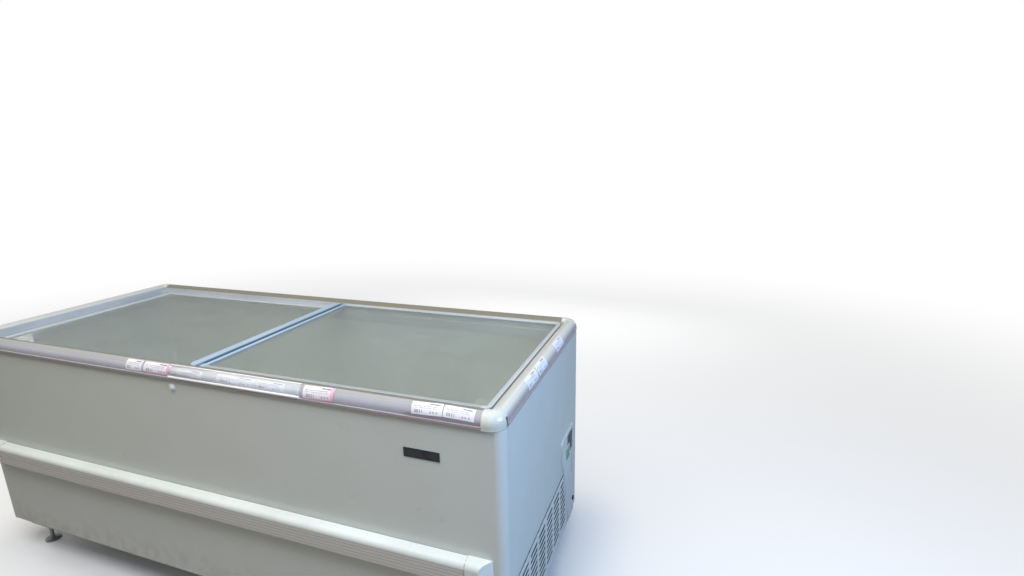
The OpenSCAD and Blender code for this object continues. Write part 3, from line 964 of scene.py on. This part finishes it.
@dataclass
class CabinetNodes:
    """Gives each CAD node its finish and soft edges."""

    nodes: dict[str, bpy.types.Object]
    finishes: Finishes
    dressings: tuple[Dressing, ...] = (
        Dressing("painted_sheet", "front_panel back_panel left_end_panel right_end_panel", 0.5 * MM),
        Dressing("price_rail_length", "front_rail back_rail", 0.3 * MM),
        Dressing("price_rail_depth", "left_rail right_rail", 0.3 * MM),
        Dressing("cap_plastic", "front_left_cap front_right_cap back_left_cap back_right_cap", 0.0),
        Dressing("bumper_plastic", "front_bumper back_bumper"),
        Dressing("bumper_cap_plastic", "front_bumper_ends back_bumper_ends"),
        Dressing("grille_plastic", "vent_grille", 0.3 * MM),
        Dressing("housing_plastic", "control_housing", 0.8 * MM, 3),
        Dressing("display_window", "display"),
        Dressing("switch_rocker", "power_switch", 0.8 * MM, 3),
        Dressing("gland_rubber", "cable_gland", 0.6 * MM, 3),
        Dressing("plate_black", "front_plate", 0.3 * MM),
        Dressing("plug_white", "front_plug", 0.0),
        Dressing("lid_frame_length", "left_lid_back_rail right_lid_back_rail", 0.3 * MM),
        # the front frames wear the greyer copy of painted shade
        Dressing("lid_frame_front_shaded", "left_lid_front_rail right_lid_front_rail", 0.3 * MM),
        Dressing("lid_frame_depth", "left_lid_end_bar right_lid_end_bar left_lid_meeting_bar", 0.3 * MM),
        Dressing("meeting_bar_blue_reflection", "right_lid_meeting_bar", 0.3 * MM),
        Dressing("track_length", "front_track back_track"),
        Dressing("track_depth", "left_sill right_sill"),
        Dressing("liner_sheet", "liner", 0.0),
        Dressing("foam", "insulation", 0.0),
        Dressing("base_steel", "base_pan base_rails"),
        Dressing("foot_steel", "feet", 0.0),
        Dressing("lid_glass", "left_lid_glass right_lid_glass", 0.5 * MM),
    )

    def build(self) -> None:
        """Dresses every node, and stops where one has no finish."""
        shading = soft_shading("soft_shading", SMOOTH_BELOW)
        plain = set(self.nodes)
        for dressing in self.dressings:
            for name in dressing.nodes.split():
                self._dress(self.nodes[name], dressing, shading)
                plain.discard(name)
        if plain:
            raise ValueError(f"these nodes have no finish: {sorted(plain)}")

    def _dress(self, node: bpy.types.Object, dressing: Dressing, shading: bpy.types.NodeTree) -> None:
        """Gives one node its material and modifiers.

        Args:
            node: The node's object.
            dressing: Its finish and easing.
            shading: The group that shades it softly.
        """
        node.data.materials.clear()
        node.data.materials.append(self.finishes[dressing.finish])
        modifiers = [("weld", "WELD", {"merge_threshold": WELD_WITHIN})]
        if dressing.easing > 0:
            modifiers.append(("ease", "BEVEL", {
                "width": dressing.easing, "segments": dressing.steps, "limit_method": "ANGLE",
                "angle_limit": SMOOTH_BELOW, "use_clamp_overlap": True}))
        modifiers += [("shade", "NODES", {"node_group": shading}),
                      ("even", "WEIGHTED_NORMAL", {"mode": "FACE_AREA", "weight": 100, "keep_sharp": True})]
        for name, kind, settings in modifiers:
            modifier = node.modifiers.new(name, kind)
            for label, value in settings.items():
                setattr(modifier, label, value)
        log.info("dressed %s with %s", node.name, dressing.finish)


def add_piece(name: str, shape: Shape, material: bpy.types.Material, body: str = "cabinet") -> None:
    """Turns a finished shape into a piece that rides on a body.

    Args:
        name: The piece's name.
        shape: Its bmesh, which is freed.
        material: Its finish.
        body: The CAD body that carries it.
    """
    for edge in shape.edges:
        edge.smooth = len(edge.link_faces) != 2 or edge.calc_face_angle() < SMOOTH_BELOW
    for face in shape.faces:
        face.smooth = True
    mesh = bpy.data.meshes.new(name)
    shape.to_mesh(mesh)
    shape.free()
    mesh.materials.append(material)
    piece = bpy.data.objects.new(name, mesh)
    bpy.context.scene.collection.objects.link(piece)
    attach(piece, body)
    log.info("added %s, %d faces", name, len(mesh.polygons))


def move_new(shape: Shape, made: dict[str, list], run: Vector) -> None:
    """Moves the corners that an extrusion has just made."""
    corners = [item for item in made["geom"] if isinstance(item, bmesh.types.BMVert)]
    bmesh.ops.translate(shape, verts=corners, vec=run)


def face_towards(shape: Shape, way: Vector) -> None:
    """Turns the faces of an open sheet so that most of them look one way.

    Args:
        shape: The sheet.
        way: Where its faces should look.
    """
    bmesh.ops.recalc_face_normals(shape, faces=shape.faces)
    if sum(face.normal.dot(way) for face in shape.faces) < 0:
        bmesh.ops.reverse_faces(shape, faces=shape.faces)


def extruded(section: Sequence[Vector], run: Vector) -> Shape:
    """Runs a closed section along a straight line.

    Args:
        section: The section's corners in order.
        run: How far it goes, and which way.

    Returns:
        A closed shape.
    """
    shape = bmesh.new()
    face = shape.faces.new([shape.verts.new(corner) for corner in section])
    move_new(shape, bmesh.ops.extrude_face_region(shape, geom=[face]), run)
    bmesh.ops.recalc_face_normals(shape, faces=shape.faces)
    if any(len(edge.link_faces) != 2 for edge in shape.edges):
        raise ValueError("an extruded section isn't closed")
    return shape


@dataclass(frozen=True)
class RailFace:
    """The bowed outside face of a price rail, from its lower lip up to its crown."""

    start: Vector
    outward: Vector
    run: Vector
    depth: float
    rise: float
    crown_in: float = RAIL_CROWN_IN
    lip_in: float = 2.4 * MM
    lip_rise: float = 10 * MM
    bow: float = 7 * MM
    arc_share: float = 1.06

    @classmethod
    def of_front(cls) -> RailFace:
        """Reads the front rail's face from the frame.

        Returns:
            The face.
        """
        low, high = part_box("front_rail")
        return cls(Vector((0, high.y, low.z)), Vector((0, -1, 0)), Vector((1, 0, 0)),
                   high.y - low.y, high.z - low.z)

    @classmethod
    def of_right(cls) -> RailFace:
        """Reads the right rail's face from the frame.

        Returns:
            The face.
        """
        low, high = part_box("right_rail")
        return cls(Vector((low.x, 0, low.z)), Vector((1, 0, 0)), Vector((0, 1, 0)),
                   high.x - low.x, high.z - low.z)

    def length(self) -> float:
        """Gives the length of the bowed face in its section, near enough."""
        chord = math.hypot(self.depth - self.lip_in - self.crown_in, self.rise - self.lip_rise)
        return chord * self.arc_share

    def point(self, along: float, share: float, gap: float) -> Vector:
        """Gives a point on or just off the face.

        Args:
            along: Place along the rail, from the cabinet's middle.
            share: Place up the face, 0 at the lip and 1 at the crown.
            gap: Distance from the face.

        Returns:
            The point in the part's frame.
        """
        lip = Vector((self.depth - self.lip_in, self.lip_rise))
        chord = Vector((self.crown_in, self.rise)) - lip
        side = Vector((chord.y, -chord.x)).normalized()
        place = lip + chord * share + side * (4 * self.bow * share * (1 - share))
        slope = chord + side * (4 * self.bow * (1 - 2 * share))
        place += Vector((slope.y, -slope.x)).normalized() * gap
        return self.start + self.run * along + self.outward * place.x + Vector((0, 0, place.y))


@dataclass(frozen=True)
class Ticket:
    """One paper ticket on a rail."""

    name: str
    centre: float
    width: float
    height: float
    low: float
    tilt_deg: float = 0.0
    paper: str = "ticket_paper"
    curl: float = 0.0


@dataclass
class TicketSet:
    """Thin paper tickets that follow the face of a rail."""

    face: RailFace
    tickets: tuple[Ticket, ...]
    gap: float = 0.5 * MM
    thickness: float = 0.3 * MM
    columns: int = 14
    rows: int = 10
    curl_from: float = 0.6

    def build(self, finishes: Finishes) -> None:
        """Makes each ticket from a grid that is bent onto the rail.

        Args:
            finishes: The materials by name.
        """
        for ticket in self.tickets:
            shape = bmesh.new()
            shape.loops.layers.uv.new("ticket")
            bmesh.ops.create_grid(shape, x_segments=self.columns, y_segments=self.rows, size=0.5,
                                  calc_uvs=True)
            for vertex in shape.verts:
                vertex.co = self._bent(ticket, vertex.co)
            face_towards(shape, self.face.outward + Vector((0, 0, 1)))
            bmesh.ops.solidify(shape, geom=shape.faces[:], thickness=-self.thickness)
            add_piece(ticket.name, shape, finishes[ticket.paper])

    def _bent(self, ticket: Ticket, place: Vector) -> Vector:
        """Puts a point of the flat grid onto the rail.

        Args:
            ticket: The ticket that it belongs to.
            place: The point, with X and Y from -0.5 to 0.5.

        Returns:
            The point in the part's frame.
        """
        turn = Matrix.Rotation(math.radians(ticket.tilt_deg), 2)
        flat = turn @ Vector((place.x * ticket.width, place.y * ticket.height))
        share = ticket.low + (flat.y + ticket.height / 2) / self.face.length()
        corner = max(0.0, abs(place.x) * 2 - self.curl_from) * max(0.0, 0.5 - place.y)
        return self.face.point(ticket.centre + flat.x, share, self.gap + ticket.curl * corner)


@dataclass
class ClearSleeve:
    """Clear strip that holds a row of tickets, with a turned lower edge and opaque white bead strips along
    its foot and top as painted highlights.
    """

    face: RailFace
    low: float = -0.02
    high: float = 0.43
    foot: float = 0.02
    top: float = 0.96
    gap: float = 1.6 * MM
    hook: tuple[float, float] = (0.3 * MM, 1.2 * MM)
    thickness: float = 0.4 * MM
    steps: int = 12
    bead_steps: int = 8
    bead_in: float = 0.6 * MM
    # opaque white bead strips as painted highlights along the sleeve's foot and top
    highlight_beads: tuple[tuple[str, float, float, float], ...] = (("foot", -0.05, 0.13, 3.0 * MM),
                                                          ("top", 0.91, 0.98, 0.8 * MM))

    def build(self, finishes: Finishes) -> None:
        """Draws the strip's section and runs it along the rail.

        Args:
            finishes: The materials by name.
        """
        shape = bmesh.new()
        hook = [self.face.point(self.low, self.foot, gap) for gap in self.hook]
        wall = [self.face.point(self.low, self.foot + (self.top - self.foot) * step / self.steps, self.gap)
                for step in range(self.steps + 1)]
        corners = [shape.verts.new(point) for point in hook + wall]
        edges = [shape.edges.new(pair) for pair in zip(corners, corners[1:])]
        run = self.face.run * (self.high - self.low)
        move_new(shape, bmesh.ops.extrude_edge_only(shape, edges=edges), run)
        face_towards(shape, self.face.outward)
        bmesh.ops.solidify(shape, geom=shape.faces[:], thickness=-self.thickness)
        add_piece("ticket_sleeve", shape, finishes["clear_sleeve"])
        # each bead is a painted highlight
        for name, foot, top, bulge in self.highlight_beads:
            section = self._highlight_bead(foot, top, bulge)
            add_piece(f"ticket_sleeve_{name}", extruded(section, run), finishes["sleeve_bead_highlight"])

    def _highlight_bead(self, foot: float, top: float, bulge: float) -> list[Vector]:
        """Draws the section of one opaque white bead, a painted highlight along the sleeve's edge.

        Args:
            foot: Share of the rail's face where it starts.
            top: Share where it ends.
            bulge: How far its middle stands out.

        Returns:
            The section's corners.
        """
        outer = [self.face.point(self.low, foot + (top - foot) * step / self.bead_steps,
                                 self.gap + bulge * math.sin(math.pi * step / self.bead_steps) ** 0.5)
                 for step in range(self.bead_steps + 1)]
        return outer + [self.face.point(self.low, share, self.gap - self.bead_in) for share in (top, foot)]


@dataclass
class LidGasket:
    """Soft dark strip in the groove of the upper lid's meeting bar."""

    bar: str = "right_lid_meeting_bar"
    body: str = "right_lid"
    first: float = 36.4 * MM
    last: float = 43.6 * MM
    floor: float = 4.5 * MM
    clearance: float = 0.05 * MM
    side: float = 0.8 * MM
    rise: float = 2.2 * MM
    half: float = 316 * MM
    steps: int = 10

    def build(self, finishes: Finishes) -> None:
        """Draws the strip's rounded section and runs it along the groove.

        Args:
            finishes: The materials by name.
        """
        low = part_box(self.bar)[0]

        def point(across: float, up: float) -> Vector:
            """Gives a corner of the section, from the bar's corner and the groove's floor."""
            return Vector((low.x + across, -self.half, low.z + self.floor + up))

        width, bulge = self.last - self.first, self.rise - self.side
        section = [point(self.first + width * step / self.steps,
                         self.side + bulge * math.sin(math.pi * step / self.steps))
                   for step in range(self.steps + 1)]
        section += [point(across, self.clearance) for across in (self.last, self.first)]
        strip = extruded(section, Vector((0, 2 * self.half, 0)))
        add_piece("meeting_gasket", strip, finishes["gasket_blue"], self.body)


@dataclass
class SlotShadeSheet:
    """Thin dark sheet on the floor of the slot in the control housing: painted shade."""

    floor_in: float = 3.0 * MM
    thickness: float = 0.2 * MM
    from_corner: tuple[float, float] = (37 * MM, 190 * MM)
    size: tuple[float, float] = (11 * MM, 82 * MM)
    clearance: float = 0.3 * MM

    def build(self, finishes: Finishes) -> None:
        """Draws the sheet of painted shade on the slot's floor, read from the housing's upper rear corner.

        Args:
            finishes: The materials by name.
        """
        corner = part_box("control_housing")[1]
        first = Vector((corner.x - self.floor_in, corner.y - self.from_corner[0] + self.clearance,
                        corner.z - self.from_corner[1] + self.clearance))
        width, height = (side - 2 * self.clearance for side in self.size)
        outline = [first + Vector((0, across, up))
                   for across, up in ((0, 0), (width, 0), (width, height), (0, height))]
        # a dark sheet of painted shade, in the display window's material
        add_piece("housing_slot_painted_shade", extruded(outline, Vector((self.thickness, 0, 0))),
                  finishes["display_window"])


@dataclass(frozen=True)
class ScrewRow:
    """A few equal screws on one flat face."""

    name: str
    places: tuple[Place, ...]
    outward: Place


@dataclass
class Screws:
    """Pan-head screws with a cross recess."""

    radius: float = 3.6 * MM
    dome: float = 1.5 * MM
    skirt: float = 0.5 * MM
    sunk: float = 0.2 * MM
    recess_long: float = 2.1 * MM
    recess_wide: float = 0.55 * MM
    recess_deep: float = 0.9 * MM
    steps: int = 14
    first_turn: float = 0.7
    next_turn: float = 1.3
    roundness: float = 0.6
    rim_at: float = 0.999
    edge: float = 9 * MM
    grille_top_in: float = 65 * MM
    housing_foot_in: float = 63 * MM
    housing_front: tuple[float, float] = (12 * MM, 15 * MM)
    housing_rear: tuple[float, float] = (11 * MM, 23 * MM)
    sheet_edge: float = 14 * MM
    back_in: float = 80 * MM
    back_count: int = 7
    left_y: tuple[float, ...] = (-0.28, 0.0, 0.28)

    def build(self, finishes: Finishes) -> None:
        """Makes one piece for each row.

        Args:
            finishes: The materials by name.
        """
        for row in self._rows():
            shape = bmesh.new()
            turn = Vector(row.outward).to_track_quat("Z", "Y").to_matrix().to_4x4()
            for number, place in enumerate(row.places):
                head = self._head()
                spin = Matrix.Rotation(self.first_turn + self.next_turn * number, 4, "Z")
                seat = Matrix.Translation(Vector(place)) @ turn @ spin
                bmesh.ops.transform(head, matrix=seat, verts=head.verts)
                piece = bpy.data.meshes.new("screw_head")
                head.to_mesh(piece)
                head.free()
                shape.from_mesh(piece)
                bpy.data.meshes.remove(piece)
            add_piece(row.name, shape, finishes["screw_steel"])

    def _rows(self) -> tuple[ScrewRow, ...]:
        """Reads the places of the screws from the frame's boxes.

        Returns:
            A row for each screwed face, clear of the slant between the grille and the housing.
        """
        grille, housing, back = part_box("vent_grille"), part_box("control_housing"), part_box("back_panel")
        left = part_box("left_end_panel")
        (front, foot), (rear, top) = [(corner.y, corner.z) for corner in grille]
        on_grille = ((front + self.edge, foot + self.edge), (front + self.edge, top - self.edge),
                     (rear - self.edge, foot + self.edge), (rear - self.grille_top_in, top - self.edge))
        (front, foot), (rear, top) = [(corner.y, corner.z) for corner in housing]
        on_housing = ((rear - self.housing_foot_in, foot + self.edge), (rear - self.edge, foot + self.edge),
                      (front + self.housing_front[0], top - self.housing_front[1]),
                      (rear - self.housing_rear[0], top - self.housing_rear[1]))
        step = (back[1].x - back[0].x - 2 * self.back_in) / (self.back_count - 1)
        return (
            ScrewRow("grille_screws", tuple((grille[1].x, y, z) for y, z in on_grille), (1, 0, 0)),
            ScrewRow("housing_screws", tuple((housing[1].x, y, z) for y, z in on_housing), (1, 0, 0)),
            ScrewRow("back_screws", tuple(
                (back[0].x + self.back_in + step * number, back[1].y, back[0].z + self.sheet_edge)
                for number in range(self.back_count)), (0, 1, 0)),
            ScrewRow("left_screws", tuple((left[0].x, y, left[0].z + self.sheet_edge) for y in self.left_y),
                     (-1, 0, 0)),
        )

    def _head(self) -> Shape:
        """Shapes one head about the origin.

        Returns:
            The closed head, with its top towards +Z.
        """
        shape = bmesh.new()
        bmesh.ops.create_grid(shape, x_segments=self.steps, y_segments=self.steps, size=1.0)
        for vertex in shape.verts:
            flat = Vector((vertex.co.x * math.sqrt(1 - vertex.co.y ** 2 / 2),
                           vertex.co.y * math.sqrt(1 - vertex.co.x ** 2 / 2)))
            rise = self.skirt
            if flat.length < self.rim_at:
                rise += self.dome * (1 - flat.length_squared) ** self.roundness
            place = flat * self.radius
            arms = (abs(place.x), abs(place.y))
            if min(arms) < self.recess_wide and max(arms) < self.recess_long:
                rise -= self.recess_deep
            vertex.co = Vector((place.x, place.y, rise))
        rim = [edge for edge in shape.edges if len(edge.link_faces) == 1]
        for item in bmesh.ops.extrude_edge_only(shape, edges=rim)["geom"]:
            if isinstance(item, bmesh.types.BMVert):
                item.co.z = -self.sunk
        base = [edge for edge in shape.edges if len(edge.link_faces) == 1]
        bmesh.ops.contextual_create(shape, geom=base)
        bmesh.ops.recalc_face_normals(shape, faces=shape.faces)
        return shape


@dataclass(frozen=True)
class PhotoCamera:
    """The camera at the photograph's viewpoint."""

    place: Place = (1.367, -1.384, 1.3965)
    heading_deg: float = -19.65
    dip_deg: float = 14.21
    roll_deg: float = -1.099
    lens_mm: float = 18.934
    sensor_mm: float = 36.0
    clip: tuple[float, float] = (0.02, 200.0)

    def build(self) -> None:
        """Makes the camera and sets it as the scene's own."""
        heading, dip, roll = (math.radians(a) for a in (self.heading_deg, self.dip_deg, self.roll_deg))
        level = Vector((math.sin(heading), math.cos(heading), 0))
        ahead = level * math.cos(dip) - Vector((0, 0, math.sin(dip)))
        right = Vector((math.cos(heading), -math.sin(heading), 0))
        up = right.cross(ahead)
        across = math.cos(roll) * right + math.sin(roll) * up
        upward = -math.sin(roll) * right + math.cos(roll) * up
        turned = Matrix((across, upward, -ahead)).transposed().to_4x4()
        data = bpy.data.cameras.new("photo_camera")
        data.lens, data.sensor_width = self.lens_mm, self.sensor_mm
        data.clip_start, data.clip_end = self.clip
        camera = bpy.data.objects.new("photo_camera", data)
        camera.matrix_world = Matrix.Translation(Vector(self.place)) @ turned
        bpy.context.scene.collection.objects.link(camera)
        bpy.context.scene.camera = camera


@dataclass(frozen=True)
class Lamp:
    """One soft rectangular lamp."""

    name: str
    place: Place
    target: Place
    size: tuple[float, float]
    power: float
    colour: Place = (1.0, 1.0, 1.0)
    mirrored: bool = True

    def build(self) -> None:
        """Makes the lamp and turns it to its target."""
        data = bpy.data.lights.new(self.name, "AREA")
        data.shape = "RECTANGLE"
        data.size, data.size_y = self.size
        data.energy, data.color = self.power, self.colour
        lamp = bpy.data.objects.new(self.name, data)
        lamp.location = self.place
        lamp.rotation_mode = "QUATERNION"
        lamp.rotation_quaternion = (Vector(self.target) - Vector(self.place)).to_track_quat("-Z", "Y")
        lamp.visible_glossy = self.mirrored
        bpy.context.scene.collection.objects.link(lamp)


@dataclass
class Studio:
    """Plain pale floor, a pale surround and soft lamps."""

    floor_half: float = 40.0
    floor_seen: Colour = srgb(236, 235, 233)
    floor_bounce: Colour = srgb(112, 99, 80)
    mirrored_floor: Colour = srgb(176, 177, 178)
    glow: float = 0.5
    glow_reach: float = 0.30
    fade_from: float = 0.7
    fade_to: float = 5.0
    left_sky: Colour = (1.0, 0.975, 0.94, 1.0)
    right_sky: Colour = (0.50, 0.74, 1.0, 1.0)
    ambient: float = 0.30
    sky_turn: tuple[float, float] = (-0.1, 0.9)
    mirrored_rise: tuple[float, float] = (0.10, 0.60)
    mirrored_glow: tuple[float, float] = (0.24, 0.50)
    lamps: tuple[Lamp, ...] = (
        Lamp("ceiling_lamp", (0.3, -1.0, 2.9), (0.2, -0.2, 0.3), (3.0, 1.5), 65.0, (1.0, 0.98, 0.95),
             mirrored=False),
        Lamp("right_lamp", (2.7, -0.75, 1.5), (0.98, -0.1, 0.5), (0.8, 0.8), 40.0, (0.34, 0.57, 0.96)),
        Lamp("front_lamp", (1.0, -2.6, 2.0), (0.6, -0.4, 0.5), (2.0, 0.6), 5.5, (1.0, 0.91, 0.80)),
        Lamp("back_lamp", (0.2, 3.4, 1.15), (0.0, 0.4, 0.35), (2.4, 0.5), 34.0, mirrored=False),
        Lamp("left_lamp", (-3.2, 0.3, 1.2), (-0.98, 0.0, 0.5), (1.2, 1.2), 20.0, mirrored=False),
    )

    def build(self) -> None:
        """Builds the floor, the surround and the lamps."""
        self._floor()
        self._surround()
        for lamp in self.lamps:
            lamp.build()

    def _floor(self) -> None:
        """Makes a plain floor that fades to white far away and keeps the shade under the cabinet."""
        shape = bmesh.new()
        bmesh.ops.create_grid(shape, x_segments=2, y_segments=2, size=self.floor_half)
        mesh = bpy.data.meshes.new("floor")
        shape.to_mesh(mesh)
        shape.free()
        surface = Surface("floor")
        seen, mirrors = surface.rays()
        unseen = surface.blend(mirrors, self.floor_bounce, self.mirrored_floor)
        surface.feed(surface.shader, {"Base Color": surface.blend(seen, unseen, self.floor_seen),
                                      "Roughness": 0.7})
        gaps = [surface.math("MAXIMUM", surface.math("SUBTRACT", surface.distance(axis), half), 0.0)
                for axis, half in enumerate(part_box("base_pan")[1].xy)]
        away = surface.add("ShaderNodeCombineXYZ", {0: gaps[0], 1: gaps[1]}).outputs[0]
        reach = surface.add("ShaderNodeVectorMath", {0: away}, operation="LENGTH").outputs["Value"]
        near = surface.remap(reach, 0.0, self.glow_reach, 0.0, self.glow)
        far = surface.remap(reach, self.fade_from, self.fade_to, 0.0, 1.0 - self.glow)
        glow = surface.add("ShaderNodeEmission", {"Color": WHITE, "Strength": 1.0})
        share = surface.times(surface.math("ADD", near, far), seen)
        surface.show("Material Output", share, surface.shader, glow)
        mesh.materials.append(surface.material)
        floor = bpy.data.objects.new("floor", mesh)
        bpy.context.scene.collection.objects.link(floor)

    def _surround(self) -> None:
        """Makes a world that looks white to the camera, pale grey in mirrors, and lights evenly."""
        world = bpy.data.worlds.new("surround")
        bpy.context.scene.world = world
        world.use_nodes = True
        graph = Graph(world.node_tree)
        even = graph.tree.nodes["Background"]
        across, _, up = graph.split(graph.add("ShaderNodeTexCoord").outputs["Generated"])
        light = graph.blend(graph.remap(across, *self.sky_turn), self.left_sky, self.right_sky)
        graph.feed(even, {"Color": light, "Strength": self.ambient})
        seen, mirrors = graph.rays()
        mirrored = graph.remap(up, *self.mirrored_rise, *self.mirrored_glow)
        shown = graph.remap(seen, 0.0, 1.0, mirrored, 1.0)
        plain = graph.add("ShaderNodeBackground", {"Color": WHITE, "Strength": shown})
        graph.show("World Output", graph.math("MAXIMUM", seen, mirrors), even, plain)


FRONT_TICKETS = (
    Ticket("ticket_front_1", -0.157, 63 * MM, 32 * MM, 0.10),
    Ticket("ticket_front_2", -0.068, 98 * MM, 32 * MM, 0.10, paper="ticket_paper_tinted"),
    # tickets 3 to 5 sit behind the clear sleeve and wear the greyer paper of painted shade
    Ticket("ticket_front_3", 0.056, 93 * MM, 31 * MM, -0.04, paper="ticket_paper_shaded"),
    Ticket("ticket_front_4", 0.221, 133 * MM, 24 * MM, 0.18, paper="ticket_paper_shaded"),
    Ticket("ticket_front_5", 0.337, 92 * MM, 24 * MM, 0.18, paper="ticket_paper_shaded"),
    Ticket("ticket_front_6", 0.488, 92 * MM, 35 * MM, 0.05, tilt_deg=2.0, paper="ticket_paper_tinted",
           curl=2 * MM),
    Ticket("ticket_front_7", 0.792, 80 * MM, 30 * MM, 0.21, tilt_deg=2.5),
    Ticket("ticket_front_8", 0.874, 78 * MM, 29 * MM, 0.24, tilt_deg=-1.5, curl=1.5 * MM),
)

RIGHT_TICKETS = (
    Ticket("ticket_right_1", -0.143, 82 * MM, 31 * MM, 0.16, tilt_deg=-1.0, curl=1 * MM),
    Ticket("ticket_right_2", -0.051, 80 * MM, 31 * MM, 0.20, tilt_deg=0.8),
    Ticket("ticket_right_3", 0.133, 80 * MM, 31 * MM, 0.20),
)


def main() -> None:
    """Builds the scene around the frame."""
    logging.basicConfig(level=logging.INFO, format="%(name)s: %(message)s")
    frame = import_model()
    bpy.context.scene.view_settings.view_transform = "Standard"
    PhotoCamera().build()
    Studio().build()
    finishes = Finishes(Effects(), Levels.from_frame())
    CabinetNodes(frame["nodes"], finishes).build()
    front = RailFace.of_front()
    for piece in (TicketSet(front, FRONT_TICKETS), TicketSet(RailFace.of_right(), RIGHT_TICKETS),
                  ClearSleeve(front), LidGasket(), SlotShadeSheet(), Screws()):
        piece.build(finishes)


if __name__ == "__main__":
    main()
